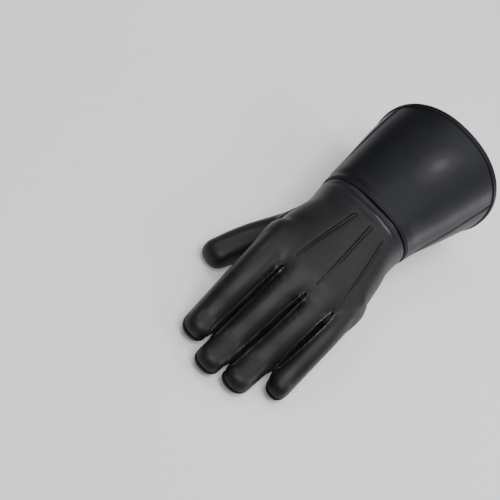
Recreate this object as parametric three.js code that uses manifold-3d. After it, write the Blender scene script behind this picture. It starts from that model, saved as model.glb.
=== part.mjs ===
// A black leather gauntlet glove for the left hand, lying palm down as it rests by itself.
// Millimetres: +X towards the little finger, +Y out of the cuff's opening, +Z up from the surface.
//
// The hand is laid out flat first, as a glove cutter draws it: u across the hand towards the
// little finger, v from the wrist seam towards the fingertips, w up from the middle of the hand.
// Its pieces are cut there, and one bend then carries them over the knuckles to the surface.
import * as THREE from "three";
import { mergeVertices } from "three/addons/utils/BufferGeometryUtils.js";
import Module from "manifold-3d";

const wasm = await Module();
wasm.setup();

// Driving dimensions
const HAND_WALL = 1.3; // dress glove leather
const CUFF_WALL = 1.6; // the cuff's heavier leather
const PIECE_GAP = 0.3; // between two pieces that are sewn together
const WRIST_HEIGHT = 33.2; // middle of the wrist above the surface
const WRIST_LAP = 6; // how far the hand runs inside the cuff
const CUFF_LENGTH = 98; // wrist seam to rim, at the side seams
const FOURCHETTE_HALF = 4.6; // half the width of a strip between two fingers, at its root
const FOURCHETTE_TIP_HALF = 2.4; // and where it ends beside the fingertips

// How round a section is: 2 is an ellipse, and more is squarer
const HAND_ROUNDNESS = 2.4;
const CUFF_ROUNDNESS = 2.2;

// Facets round each kind of section
const PALM_SIDES = 32;
const FINGER_SIDES = 16;
const THUMB_SIDES = 16;
const CUFF_SIDES = 44;
const RIDGE_SIDES = 6;

// The hand from the wrist seam to where the fingers part. follow says how far a section takes
// the curve of the line where the fingers part, from 0, straight across, to 1.
const PALM_SECTIONS = [
  { v: -WRIST_LAP, left: -39.3, right: 29.9, top: 18.8, bottom: 18.8, follow: 0 },
  { v: 2.8, left: -39.3, right: 29.9, top: 18.8, bottom: 18.8, follow: 0 },
  { v: 5, left: -40.8, right: 31.4, top: 20.4, bottom: 20.4, follow: 0 },
  { v: 14, left: -40.0, right: 31.0, top: 20.4, bottom: 21.4, follow: 0.05 },
  { v: 26, left: -39.4, right: 31.2, top: 19.6, bottom: 22.0, follow: 0.1 },
  { v: 40, left: -40.6, right: 33.0, top: 18.6, bottom: 22.0, follow: 0.25 },
  { v: 56, left: -42.0, right: 34.2, top: 17.2, bottom: 20.4, follow: 0.45 },
  { v: 72, left: -42.4, right: 35.2, top: 15.2, bottom: 17.0, follow: 0.75 },
  { v: 85, left: -42.8, right: 36.4, top: 12.6, bottom: 13.0, follow: 1 },
  { v: 93, left: -42.0, right: 36.2, top: 8.4, bottom: 8.4, follow: 1 },
  { v: 97, left: -41.0, right: 35.6, top: 6.4, bottom: 6.4, follow: 1 },
];

// The line where the fingers part, furthest along between the middle and ring fingers
const PARTING = { v: 99.5, u: -6, curve: 0.008 };

// u is a finger's middle where it leaves the hand, and lean its angle from straight ahead
const FINGERS = [
  { name: "index", u: -32.3, lean: 2.4, tip: 166, width: 22.8, tipWidth: 18.0, height: 21.4, tipHeight: 17.6 },
  { name: "middle", u: -9.0, lean: -0.8, tip: 177, width: 21.4, tipWidth: 18.4, height: 21.6, tipHeight: 16.8 },
  { name: "ring", u: 12.9, lean: -2.6, tip: 172, width: 20.4, tipWidth: 18.6, height: 20.8, tipHeight: 16.6 },
  { name: "little", u: 30.2, lean: 1.8, tip: 152, width: 15.6, tipWidth: 14.8, height: 18.4, tipHeight: 16.6 },
];
const FINGER_ROOT = 64; // v where a finger starts, inside the hand
const FINGER_STEP = 11; // between the sections of a finger
const ROOT_SHARES = [0.72, 0.9, 0.97]; // how much of its size a finger has where it starts
const TIP_LENGTH = 11; // the rounded end of a finger
const TIP_TURNS = [30, 55, 76]; // degrees round the rounded end

// The thumb's line, which bends down and forwards until its tip rests
const THUMB = [
  { u: -17, v: 22, w: -7, width: 31, height: 25 },
  { u: -28, v: 38, w: -11, width: 29, height: 25 },
  { u: -37, v: 53, w: -16, width: 25, height: 23.5 },
  { u: -44.5, v: 67, w: -21.5, width: 22.5, height: 21.5 },
  { u: -50.5, v: 80, w: -27.4, width: 21, height: 20 },
  { u: -54.5, v: 91, w: -31.6, width: 19.6, height: 18.6 },
];

// The three raised lines sewn on the back, from the wrist towards where the fingers part
const POINTS = [
  { from: { u: -12, v: 24 }, to: { u: -19, v: 84 } },
  { from: { u: 1.5, v: 23 }, to: { u: 3, v: 86 } },
  { from: { u: 14.3, v: 22 }, to: { u: 21.5, v: 79 } },
];
const POINT_RADIUS = 1.1;
const POINT_SINK = 0.35; // how far the middle of a raised line lies under the leather
const POINT_STEPS = 9;

// The slope of the hand's middle line, in degrees above level, at each v
const SLOPES = [
  { v: -20, slope: 3.6 },
  { v: 69, slope: 3.6 },
  { v: 99, slope: -21 },
  { v: 134, slope: -34.5 },
  { v: 146, slope: -28 },
  { v: 156, slope: -8 },
  { v: 161, slope: -1 },
  { v: 190, slope: 0 },
];
const BEND_STEP = 1;
// The knuckles bend sooner towards the little finger: this many mm of v for each mm of u
const KNUCKLE_SLANT = { from: -30, rate: 0.16 };

// The cuff, from the wrist seam (0) to the rim (1)
const CUFF_SECTIONS = [
  { share: 0, left: -42.0, right: 32.6, halfHeight: 21.4 },
  { share: 0.12, left: -43.2, right: 33.9, halfHeight: 22.8 },
  { share: 0.3, left: -45.0, right: 37.3, halfHeight: 26.0 },
  { share: 0.5, left: -47.3, right: 41.7, halfHeight: 30.2 },
  { share: 0.75, left: -49.9, right: 46.5, halfHeight: 35.2 },
  { share: 1, left: -51.6, right: 51.6, halfHeight: 39.8 },
];
const CUFF_RINGS = 7;
const CUFF_TURN = 2.4; // degrees that the cuff turns towards the little finger
const RIM_SLANT = 2.4; // how much longer the back's side of the rim is, and shorter the palm's
const RIM_CROWN = 5; // how far the rim bows out in the middle of the back
const WRIST_SLANT = 3; // how far the wrist seam runs back towards the cuff at the little finger
// The cuff's side seams, as heights above its axis: they climb towards the rim
const SIDE_SEAM = { atWrist: -2, atRim: 17 };
const BINDING_WALL = 0.9;
const BINDING_DEPTH = 3.6;

// Leather that would reach under the surface lies flat on it instead
const PRESS_DEPTH = 1.6;
const PRESS_TOP = 5;
const REST_SINK = 1.8; // how far the rim is pressed, beyond that, where it stands

const radians = THREE.MathUtils.degToRad;

// The value of one column of a table at a place between its rows
function between(rows, key, column, at) {
  let i = 1;
  while (i < rows.length - 1 && rows[i][key] < at) i += 1;
  const [a, b] = [rows[i - 1], rows[i]];
  const share = THREE.MathUtils.clamp((at - a[key]) / (b[key] - a[key]), 0, 1);
  return THREE.MathUtils.lerp(a[column], b[column], share);
}

// The hand's middle line seen from the side, at rest: y falls and z follows the slopes
const middleLine = [];
for (let v = SLOPES[0].v, y = 0, z = 0; v <= SLOPES.at(-1).v; v += BEND_STEP) {
  const slope = radians(between(SLOPES, "v", "slope", v + BEND_STEP / 2));
  middleLine.push({ v, y, z });
  y -= BEND_STEP * Math.cos(slope);
  z += BEND_STEP * Math.sin(slope);
}
const wristY = between(middleLine, "v", "y", 0);
const wristZ = between(middleLine, "v", "z", 0);

// A point of the flat layout, carried to where it lies on the bent hand
function bend({ u, v, w }) {
  const palmSlope = radians(SLOPES[0].slope);
  const sooner = KNUCKLE_SLANT.rate * Math.max(0, u - KNUCKLE_SLANT.from);
  const at = v + sooner;
  const slope = radians(between(SLOPES, "v", "slope", at));
  const y = between(middleLine, "v", "y", at) - wristY + sooner * Math.cos(palmSlope);
  const z = between(middleLine, "v", "z", at) - wristZ - sooner * Math.sin(palmSlope);
  return new THREE.Vector3(u, y + w * Math.sin(slope), z + w * Math.cos(slope) + WRIST_HEIGHT);
}

// The thumb and the palm under it follow the palm's own slope, and don't bend with the fingers
function tilt({ u, v, w }) {
  const slope = radians(SLOPES[0].slope);
  return new THREE.Vector3(
    u,
    -v * Math.cos(slope) + w * Math.sin(slope),
    v * Math.sin(slope) + w * Math.cos(slope) + WRIST_HEIGHT,
  );
}

// Leather near the surface is pressed up, so that nothing goes under it
function press(point) {
  if (point.z < PRESS_TOP)
    point.z = Math.max(0, (PRESS_TOP * (point.z + PRESS_DEPTH)) / (PRESS_TOP + PRESS_DEPTH));
  return point;
}

// One point of a rounded section: x across and y up, each from -1 to 1
function roundedPoint(turn, roundness) {
  const [c, s] = [Math.cos(turn), Math.sin(turn)];
  return {
    x: Math.sign(c) * Math.abs(c) ** (2 / roundness),
    y: Math.sign(s) * Math.abs(s) ** (2 / roundness),
  };
}

function loop(sides, make) {
  return Array.from({ length: sides }, (_, i) => make((2 * Math.PI * i) / sides));
}

// Joins a stack of rings into one closed solid, with a fan over each end
function loft(rings) {
  const sides = rings[0].length;
  const points = rings.flat();
  const triangles = [];
  for (let r = 0; r + 1 < rings.length; r += 1)
    for (let i = 0; i < sides; i += 1) {
      const [a, b] = [r * sides + i, r * sides + ((i + 1) % sides)];
      triangles.push(a, b, a + sides, b, b + sides, a + sides);
    }
  for (const [ring, start, turned] of [
    [rings[0], 0, true],
    [rings.at(-1), (rings.length - 1) * sides, false],
  ]) {
    const middle = new THREE.Vector3();
    ring.forEach((p) => middle.addScaledVector(p, 1 / sides));
    const hub = points.push(middle) - 1;
    for (let i = 0; i < sides; i += 1) {
      const [a, b] = [start + i, start + ((i + 1) % sides)];
      triangles.push(...(turned ? [b, a, hub] : [a, b, hub]));
    }
  }
  return solid(points, triangles);
}

// A closed band round a loop: each station of the loop holds the same closed outline
function band(stations) {
  const count = stations[0].length;
  const points = stations.flat();
  const triangles = [];
  stations.forEach((_, s) => {
    const next = ((s + 1) % stations.length) * count;
    for (let i = 0; i < count; i += 1) {
      const j = (i + 1) % count;
      const [a, b] = [s * count + i, s * count + j];
      triangles.push(a, next + i, b, b, next + i, next + j);
    }
  });
  return solid(points, triangles);
}

// A manifold-3d solid from points and triangles, turned right way out
function solid(points, triangles) {
  const geometry = new THREE.BufferGeometry().setFromPoints(points).setIndex(triangles);
  const merged = mergeVertices(geometry, 1e-4);
  const triVerts = new Uint32Array(merged.index.array);
  const vertProperties = merged.attributes.position.array;
  const made = new wasm.Manifold(new wasm.Mesh({ numProp: 3, vertProperties, triVerts }));
  if (made.volume() > 0) return made;
  for (let i = 0; i < triVerts.length; i += 3)
    [triVerts[i], triVerts[i + 1]] = [triVerts[i + 1], triVerts[i]];
  return new wasm.Manifold(new wasm.Mesh({ numProp: 3, vertProperties, triVerts }));
}

// A solid moved point by point, back as a three.js geometry. A mirroring move turns its faces.
function shaped(part, { move, mirrors }) {
  const { vertProperties, triVerts, numProp } = part.getMesh();
  const position = new Float32Array((vertProperties.length / numProp) * 3);
  for (let i = 0; i < position.length / 3; i += 1) {
    const [x, y, z] = vertProperties.subarray(i * numProp, i * numProp + 3);
    press(move({ u: x, v: y, w: z })).toArray(position, i * 3);
  }
  for (let i = 0; mirrors && i < triVerts.length; i += 3)
    [triVerts[i], triVerts[i + 1]] = [triVerts[i + 1], triVerts[i]];
  const geometry = new THREE.BufferGeometry();
  geometry.setAttribute("position", new THREE.BufferAttribute(position, 3));
  geometry.setIndex(new THREE.BufferAttribute(new Uint32Array(triVerts), 1));
  geometry.computeVertexNormals();
  return geometry;
}

// The v of the line where the fingers part, at u
function partingAt(u) {
  return PARTING.v - PARTING.curve * (u - PARTING.u) ** 2;
}

// The hand without fingers, drawn in by inset all round
function palmBody(inset) {
  const rings = PALM_SECTIONS.map((row) => {
    const middle = (row.left + row.right) / 2;
    const half = (row.right - row.left) / 2 - inset;
    return loop(PALM_SIDES, (turn) => {
      const p = roundedPoint(turn, HAND_ROUNDNESS);
      const u = middle + half * p.x;
      const w = p.y * ((p.y > 0 ? row.top : row.bottom) - inset);
      const v = row.v + row.follow * (partingAt(u) - PARTING.v);
      return new THREE.Vector3(u, v, w);
    });
  });
  // The end between the fingers is drawn in by the wall, and the wrist is left open
  rings.at(-1).forEach((p) => (p.y -= inset));
  if (inset > 0) rings[0].forEach((p) => (p.y -= 2 * WRIST_LAP));
  return loft(rings);
}

// A finger as one closed form, drawn in by inset all round
function fingerBody(finger, inset) {
  const length = finger.tip - FINGER_ROOT;
  const straight = length - TIP_LENGTH;
  const steps = Math.round(straight / FINGER_STEP);
  const stations = [];
  for (let i = 0; i <= steps; i += 1)
    stations.push({ along: (straight * i) / steps, share: ROOT_SHARES[i] ?? 1 });
  for (const turn of TIP_TURNS.map(radians))
    stations.push({
      along: straight + (TIP_LENGTH - inset) * Math.sin(turn),
      share: Math.cos(turn),
    });
  const rings = stations.map(({ along, share }) => {
    const taper = along / length;
    const half = (THREE.MathUtils.lerp(finger.width, finger.tipWidth, taper) / 2 - inset) * share;
    const rise = (THREE.MathUtils.lerp(finger.height, finger.tipHeight, taper) / 2 - inset) * share;
    const v = FINGER_ROOT + along;
    const middle = finger.u + Math.tan(radians(finger.lean)) * (v - PARTING.v);
    return loop(FINGER_SIDES, (turn) => {
      const p = roundedPoint(turn, HAND_ROUNDNESS);
      return new THREE.Vector3(middle + half * p.x, v, rise * p.y);
    });
  });
  return loft(rings);
}

// The thumb as one closed form, drawn in by inset all round
function thumbBody(inset) {
  const line = new THREE.CatmullRomCurve3(THUMB.map(({ u, v, w }) => new THREE.Vector3(u, v, w)));
  const last = THUMB.length - 1;
  const stations = [];
  for (let i = 0; i <= 2 * last; i += 1) stations.push({ at: i / 2, beyond: 0, share: 1 });
  for (const turn of TIP_TURNS.map(radians))
    stations.push({ at: last, beyond: (TIP_LENGTH - inset) * Math.sin(turn), share: Math.cos(turn) });
  const rings = stations.map(({ at, beyond, share }) => {
    const row = Math.min(Math.floor(at), last - 1);
    const size = (column) =>
      (THREE.MathUtils.lerp(THUMB[row][column], THUMB[row + 1][column], at - row) / 2 - inset) * share;
    const along = line.getTangent(at / last);
    const centre = line.getPoint(at / last).addScaledVector(along, beyond);
    const across = new THREE.Vector3(along.y, -along.x, 0).normalize();
    const up = new THREE.Vector3().crossVectors(across, along).normalize();
    return loop(THUMB_SIDES, (turn) => {
      const p = roundedPoint(turn, HAND_ROUNDNESS);
      return centre
        .clone()
        .addScaledVector(across, size("width") * p.x)
        .addScaledVector(up, size("height") * p.y);
    });
  });
  return loft(rings);
}

// The block between the middle lines of two neighbouring fingers, grown by grow
function gapBlock(one, other, grow) {
  const start = PARTING.v - 22 - grow;
  const end = Math.min(one.tip, other.tip) - TIP_LENGTH / 2 + grow;
  const rows = 8;
  const rings = [];
  for (let i = 0; i <= rows; i += 1) {
    const v = THREE.MathUtils.lerp(start, end, i / rows);
    const half = THREE.MathUtils.lerp(FOURCHETTE_HALF, FOURCHETTE_TIP_HALF, i / rows) + grow;
    const [left, right] = [one, other].map(
      (finger) => finger.u + Math.tan(radians(finger.lean)) * (v - PARTING.v),
    );
    rings.push([
      new THREE.Vector3(left, v, -half),
      new THREE.Vector3(right, v, -half),
      new THREE.Vector3(right, v, half),
      new THREE.Vector3(left, v, half),
    ]);
  }
  return loft(rings);
}

// Everything above, or below, a level w at v = 0, which climbs by so many degrees along v
function halfSpace(level, sign, climb = 0) {
  const reach = 400;
  const box = new THREE.BoxGeometry(reach, 2 * reach, reach);
  box.translate(0, 0, (sign * reach) / 2);
  box.rotateX(radians(climb));
  box.translate(0, 0, level);
  box.deleteAttribute("normal");
  box.deleteAttribute("uv");
  const { attributes, index } = mergeVertices(box);
  return new wasm.Manifold(
    new wasm.Mesh({
      numProp: 3,
      vertProperties: attributes.position.array,
      triVerts: new Uint32Array(index.array),
    }),
  );
}

// A raised line on the back of the hand
function pointRidge({ from, to }) {
  const rings = [];
  for (let i = 0; i <= POINT_STEPS; i += 1) {
    const u = THREE.MathUtils.lerp(from.u, to.u, i / POINT_STEPS);
    const v = THREE.MathUtils.lerp(from.v, to.v, i / POINT_STEPS);
    const left = between(PALM_SECTIONS, "v", "left", v);
    const right = between(PALM_SECTIONS, "v", "right", v);
    const top = between(PALM_SECTIONS, "v", "top", v);
    const across = Math.abs((u - (left + right) / 2) / ((right - left) / 2));
    const w = top * (1 - across ** HAND_ROUNDNESS) ** (1 / HAND_ROUNDNESS) - POINT_SINK;
    const radius = POINT_RADIUS * (i === 0 || i === POINT_STEPS ? 0.5 : 1);
    rings.push(
      loop(RIDGE_SIDES, (turn) =>
        new THREE.Vector3(u + radius * Math.cos(turn), v, w + radius * Math.sin(turn)),
      ),
    );
  }
  return loft(rings);
}

const union = (parts) => parts.reduce((all, part) => all.add(part));

// The hand's leather, still in one, and the pieces it is cut into
const outer = union([palmBody(0), ...FINGERS.map((finger) => fingerBody(finger, 0))]);
const inner = union([palmBody(HAND_WALL), ...FINGERS.map((finger) => fingerBody(finger, HAND_WALL))]);
const leather = outer.subtract(inner);
const neighbours = FINGERS.slice(1).map((finger, i) => [FINGERS[i], finger]);
const thumbHollow = thumbBody(HAND_WALL);
const uncut = neighbours.reduce(
  (rest, [one, other]) => rest.subtract(gapBlock(one, other, PIECE_GAP)),
  leather,
);
const back = union([uncut.intersect(halfSpace(PIECE_GAP / 2, 1)), ...POINTS.map(pointRidge)])
  .subtract(inner)
  .subtract(thumbBody(PIECE_GAP * -1));
const palm = uncut.intersect(halfSpace(-PIECE_GAP / 2, -1)).subtract(thumbHollow);

// The cuff's local frame: the axis leaves the wrist seam, and the rim's centre lies on it
const rim = CUFF_SECTIONS.at(-1);
const rimHeight = rim.halfHeight + BINDING_WALL + PIECE_GAP - PRESS_DEPTH - REST_SINK;
const cuffRise = Math.asin((rimHeight - WRIST_HEIGHT) / CUFF_LENGTH);

// A point of the cuff's wall: how far along, where round, and how far out from its outer face
function cuffPoint(share, turn, out, beyond = 0) {
  const left = between(CUFF_SECTIONS, "share", "left", share);
  const right = between(CUFF_SECTIONS, "share", "right", share);
  const halfHeight = between(CUFF_SECTIONS, "share", "halfHeight", share) + out;
  const p = roundedPoint(turn, CUFF_ROUNDNESS);
  const edge = RIM_SLANT * Math.sin(turn) + RIM_CROWN * Math.max(0, Math.sin(turn)) ** 1.5;
  const across = (left + right) / 2 + ((right - left) / 2 + out) * p.x;
  const start = (1 - share) * WRIST_SLANT * Math.max(0, p.x);
  const along = start + share * (CUFF_LENGTH + edge) + beyond;
  return new THREE.Vector3(across, along, halfHeight * p.y);
}

function cuffShell() {
  const shares = Array.from({ length: CUFF_RINGS }, (_, i) => i / (CUFF_RINGS - 1));
  return band(
    loop(CUFF_SIDES, (turn) => [
      ...shares.map((share) => cuffPoint(share, turn, 0)),
      ...shares.toReversed().map((share) => cuffPoint(share, turn, -CUFF_WALL)),
    ]),
  );
}

// The strip that is folded over the rim's edge
function rimBinding() {
  const foot = 1 - BINDING_DEPTH / CUFF_LENGTH;
  const [inside, outside] = [PIECE_GAP, PIECE_GAP + BINDING_WALL];
  return band(
    loop(CUFF_SIDES, (turn) => [
      cuffPoint(foot, turn, outside),
      cuffPoint(1, turn, outside, PIECE_GAP),
      cuffPoint(1, turn, outside - BINDING_WALL / 2, outside),
      cuffPoint(1, turn, BINDING_WALL / 2 - outside - CUFF_WALL, outside),
      cuffPoint(1, turn, -outside - CUFF_WALL, PIECE_GAP),
      cuffPoint(foot, turn, -outside - CUFF_WALL),
      cuffPoint(foot, turn, -inside - CUFF_WALL),
      cuffPoint(1, turn, -inside - CUFF_WALL, inside),
      cuffPoint(1, turn, inside, inside),
      cuffPoint(foot, turn, inside),
    ]),
  );
}

// The cuff's frame, turned up and towards the little finger, at the wrist seam
const cuffFrame = new THREE.Matrix4()
  .makeTranslation(0, 0, WRIST_HEIGHT)
  .multiply(new THREE.Matrix4().makeRotationZ(-radians(CUFF_TURN)))
  .multiply(new THREE.Matrix4().makeRotationX(cuffRise));

// The hand's layout is a left-handed frame, so its moves mirror
const bent = { move: bend, mirrors: true };
const tilted = { move: tilt, mirrors: true };
const onCuff = {
  move: ({ u, v, w }) => new THREE.Vector3(u, v, w).applyMatrix4(cuffFrame),
  mirrors: false,
};

const shell = cuffShell();
const seamClimb = THREE.MathUtils.radToDeg(
  Math.atan((SIDE_SEAM.atRim - SIDE_SEAM.atWrist) / CUFF_LENGTH),
);
const cuffHalf = (sign) =>
  shell.intersect(halfSpace(SIDE_SEAM.atWrist + (sign * PIECE_GAP) / 2, sign, seamClimb));
const handLeather = { color: 0x1d1a1b, roughness: 0.48, metalness: 0 };
const cuffLeather = { color: 0x14161b, roughness: 0.42, metalness: 0 };

const pieces = [
  { name: "hand_back", part: back, way: bent, finish: handLeather },
  { name: "hand_palm", part: palm, way: bent, finish: handLeather },
  ...neighbours.map(([one, other]) => ({
    name: `fourchette_${one.name}_${other.name}`,
    part: leather.intersect(gapBlock(one, other, 0)),
    way: bent,
    finish: handLeather,
  })),
  {
    name: "thumb",
    part: thumbBody(0).subtract(thumbHollow).subtract(palmBody(-PIECE_GAP)),
    way: tilted,
    finish: handLeather,
  },
  { name: "cuff_back", part: cuffHalf(1), way: onCuff, finish: cuffLeather },
  { name: "cuff_palm", part: cuffHalf(-1), way: onCuff, finish: cuffLeather },
  { name: "rim_binding", part: rimBinding(), way: onCuff, finish: cuffLeather },
];

const glove = new THREE.Group();
for (const { name, part, way, finish } of pieces) {
  const mesh = new THREE.Mesh(shaped(part, way), new THREE.MeshStandardMaterial(finish));
  mesh.name = name;
  glove.add(mesh);
}

// The origin is the middle of the footprint, on the surface it rests on
const extent = new THREE.Box3().setFromObject(glove);
const middle = extent.getCenter(new THREE.Vector3());
glove.position.set(-middle.x, -middle.y, -extent.min.z);

export default glove;
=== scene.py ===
"""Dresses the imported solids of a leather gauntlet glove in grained, stitched leather.

The hand is drawn as a distance field in a flat layout (u across, v towards the fingertips, w up),
skinned, parted along its seams and bent into place. The cuff and its rim binding are swept round
their own sections. Sizes are in millimetres until a mesh is written, in metres, in the part's frame.
"""

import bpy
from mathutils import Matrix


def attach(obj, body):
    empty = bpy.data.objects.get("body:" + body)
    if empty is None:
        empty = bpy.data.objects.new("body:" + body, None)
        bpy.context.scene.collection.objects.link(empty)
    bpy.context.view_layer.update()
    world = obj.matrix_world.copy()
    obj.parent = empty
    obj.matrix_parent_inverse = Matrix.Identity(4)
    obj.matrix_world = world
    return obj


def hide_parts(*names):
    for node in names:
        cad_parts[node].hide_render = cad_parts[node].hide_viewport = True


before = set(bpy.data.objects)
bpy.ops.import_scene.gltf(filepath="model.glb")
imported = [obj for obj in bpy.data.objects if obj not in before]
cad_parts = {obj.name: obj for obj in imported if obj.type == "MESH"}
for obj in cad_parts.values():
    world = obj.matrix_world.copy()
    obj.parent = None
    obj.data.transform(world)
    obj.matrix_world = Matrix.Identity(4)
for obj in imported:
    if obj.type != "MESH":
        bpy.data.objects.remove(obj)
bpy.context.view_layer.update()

import logging
import math
from dataclasses import dataclass, field
from enum import Enum
from typing import Any, Callable, Sequence

import bpy
import numpy as np
from mathutils import Matrix, Vector, kdtree

Array = np.ndarray
Field = Callable[[Array], Array]

METRE = 0.001  # metres in a millimetre
BODY = "root"
PLACE = np.array([3.6896, 32.2736, 0.0])  # from the layout's wrist to the middle of the footprint

logging.basicConfig(level=logging.INFO, format="%(message)s")
log = logging.getLogger("gauntlet")


# Sizes read along one direction


@dataclass(frozen=True)
class Table:
    """Rows of sizes along one direction. The first column is the place of each row."""

    columns: tuple[str, ...]
    rows: tuple[tuple[float, ...], ...]

    def read(self, column: str, at: Array) -> Array:
        """Reads one column smoothly between the rows.

        Args:
            column: The column's name.
            at: Places along the first column; places past either end read its end row.

        Returns:
            One value for each place.
        """
        keys = np.array([row[0] for row in self.rows])
        values = np.array([row[self.columns.index(column)] for row in self.rows])
        slopes = np.gradient(values, keys)
        i = np.clip(np.searchsorted(keys, at) - 1, 0, len(keys) - 2)
        run = keys[i + 1] - keys[i]
        t = np.clip((at - keys[i]) / run, 0, 1)
        start = (1 + 2 * t) * (1 - t) ** 2 * values[i] + t * (1 - t) ** 2 * run * slopes[i]
        end = t * t * (3 - 2 * t) * values[i + 1] + t * t * (t - 1) * run * slopes[i + 1]
        return start + end


PALM = Table(
    ("v", "left", "right", "top", "bottom", "follow"),
    (
        (-16, -41.2, 31.6, 20.4, 20.4, 0),
        (5, -40.8, 31.4, 20.4, 20.4, 0),
        (14, -40.0, 31.0, 20.4, 21.4, 0.05),
        (26, -39.4, 31.2, 19.6, 22.0, 0.1),
        (40, -40.6, 33.0, 18.6, 22.0, 0.25),
        (56, -42.0, 34.2, 17.2, 20.4, 0.45),
        (72, -42.4, 35.2, 15.2, 17.0, 0.75),
        (85, -42.8, 36.4, 12.6, 13.0, 1),
        (93, -42.0, 36.2, 8.4, 8.4, 1),
        (97, -41.0, 35.6, 6.4, 6.4, 1),
    ),
)
CUFF = Table(
    ("share", "left", "right", "half_height"),
    (
        (0.00, -42.0, 32.6, 21.4),
        (0.12, -43.2, 33.9, 22.8),
        (0.30, -45.0, 37.3, 26.0),
        (0.50, -47.3, 41.7, 30.2),
        (0.75, -49.9, 46.5, 35.2),
        (1.00, -51.6, 51.6, 39.8),
    ),
)
THUMB_LINE = np.array(
    [
        # u, v, w, width, height
        (-17.0, 22.0, -7.0, 31.0, 25.0),
        (-28.0, 38.0, -11.0, 29.0, 25.0),
        (-37.0, 53.0, -16.0, 25.0, 23.5),
        (-44.5, 67.0, -21.5, 22.5, 21.5),
        (-50.5, 80.0, -27.4, 21.0, 20.0),
        (-54.5, 91.0, -31.6, 19.6, 18.6),
    ]
)


def ramp(value: Array, low: float, high: float) -> Array:
    """Rises smoothly from 0 at low to 1 at high, or falls where high is the smaller."""
    t = np.clip((value - low) / (high - low), 0, 1)
    return t * t * (3 - 2 * t)


def bump(value: Array, centre: float, width: float) -> Array:
    """A soft bump, 1 high at its centre."""
    return np.exp(-(((value - centre) / width) ** 2))


def smooth_min(a: Array, b: Array, reach: Array | float) -> Array:
    """The smaller of two distances, rounded where they are within reach of each other."""
    overlap = np.maximum(reach - np.abs(a - b), 0) / reach
    return np.minimum(a, b) - overlap * overlap * reach / 4


def rounded_tube(
    across: Array, up: Array, past: Array, half_width: Array, half_height: Array, dome: float
) -> Array:
    """The distance to a tube with a rounded section and a domed end.

    Args:
        across: Distance from the middle line, sideways.
        up: Distance from the middle line, upwards.
        past: How far a point is past the tube's straight run.
        half_width: Half of the section's width there.
        half_height: Half of the section's height there.
        dome: The dome's length.

    Returns:
        About the distance to the surface, negative inside.
    """
    roundness = 2.4
    section = (np.abs(across) / half_width) ** roundness + (np.abs(up) / half_height) ** roundness
    size = (section + (past / dome) ** roundness) ** (1 / roundness)
    radius = np.sqrt(across * across + up * up + past * past)
    surface = np.where(size > 1e-3, radius / np.maximum(size, 1e-3), half_height)
    return radius - surface


# From the flat layout to the resting glove


@dataclass(frozen=True)
class Rest:
    """How the flat hand bends over its knuckles, tilts at the wrist and rests on the surface."""

    wrist_height: float = 33.2
    slopes: tuple[tuple[float, float], ...] = (
        (-20, 3.6),
        (69, 3.6),
        (99, -21),
        (134, -34.5),
        (146, -28),
        (156, -8),
        (161, -1),
        (190, 0),
    )
    slant_from: float = -30.0
    slant_rate: float = 0.16
    press_depth: float = 1.6
    rim_depth: float = 3.3  # how far under the surface the rim would reach
    press_top: float = 5.0
    step: float = 0.25

    def line(self) -> tuple[Array, Array, Array]:
        """Sums the slopes to the hand's middle line, seen from the side.

        Returns:
            The places v, and y and z there, both 0 at the wrist.
        """
        v = np.arange(self.slopes[0][0], self.slopes[-1][0] + self.step, self.step)
        slope = np.radians(self.slope(v[:-1] + self.step / 2))
        y = -np.concatenate([[0.0], np.cumsum(self.step * np.cos(slope))])
        z = np.concatenate([[0.0], np.cumsum(self.step * np.sin(slope))])
        return v, y - np.interp(0, v, y), z - np.interp(0, v, z)

    def slope(self, v: Array) -> Array:
        """The slope of the middle line, in degrees."""
        places, degrees = zip(*self.slopes)
        return np.interp(v, places, degrees)

    def bend(self, p: Array) -> Array:
        """Carries flat points to the bent hand, in millimetres from the wrist.

        Args:
            p: Points in the flat layout.

        Returns:
            The bent points.
        """
        u, v, w = p.T
        sooner = self.slant_rate * np.maximum(0, u - self.slant_from)
        at = v + sooner
        slope = np.radians(self.slope(at))
        palm = math.radians(self.slopes[0][1])
        places, line_y, line_z = self.line()
        y = np.interp(at, places, line_y) + sooner * math.cos(palm) + w * np.sin(slope)
        z = np.interp(at, places, line_z) - sooner * math.sin(palm) + w * np.cos(slope)
        return np.stack([u, y, z + self.wrist_height], axis=1)

    def tilt(self, p: Array) -> Array:
        """Carries flat points of the thumb and the palm under it, which follow the palm's slope.

        Args:
            p: Points in the flat layout.

        Returns:
            The tilted points, in millimetres from the wrist.
        """
        u, v, w = p.T
        slope = math.radians(self.slopes[0][1])
        y = -v * math.cos(slope) + w * math.sin(slope)
        z = v * math.sin(slope) + w * math.cos(slope)
        return np.stack([u, y, z + self.wrist_height], axis=1)

    def untilt(self, p: Array) -> Array:
        """Carries points near the wrist back to the flat layout.

        Args:
            p: Tilted points, in millimetres from the wrist.

        Returns:
            Their places in the flat layout.
        """
        x, y, z = p.T
        slope = math.radians(self.slopes[0][1])
        z = z - self.wrist_height
        v = -y * math.cos(slope) + z * math.sin(slope)
        w = y * math.sin(slope) + z * math.cos(slope)
        return np.stack([x, v, w], axis=1)

    def settle(self, p: Array, depth: float | None = None) -> Array:
        """Presses up what would reach under the surface, and moves points to the part's frame.

        Args:
            p: The bent points, in millimetres from the wrist.
            depth: The depth that is pressed up to the surface, or None for the hand's.

        Returns:
            The points in the part's frame.
        """
        depth = self.press_depth if depth is None else depth
        settled = p.copy()
        low = settled[:, 2] < self.press_top
        share = self.press_top / (self.press_top + depth)
        settled[low, 2] = np.maximum(0, share * (settled[low, 2] + depth))
        return settled + PLACE

    def settle_rim(self, p: Array) -> Array:
        """Settles the cuff's points, so that its layers stay apart where the rim stands."""
        return self.settle(p, self.rim_depth)


REST = Rest()


# The hand's form


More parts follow.
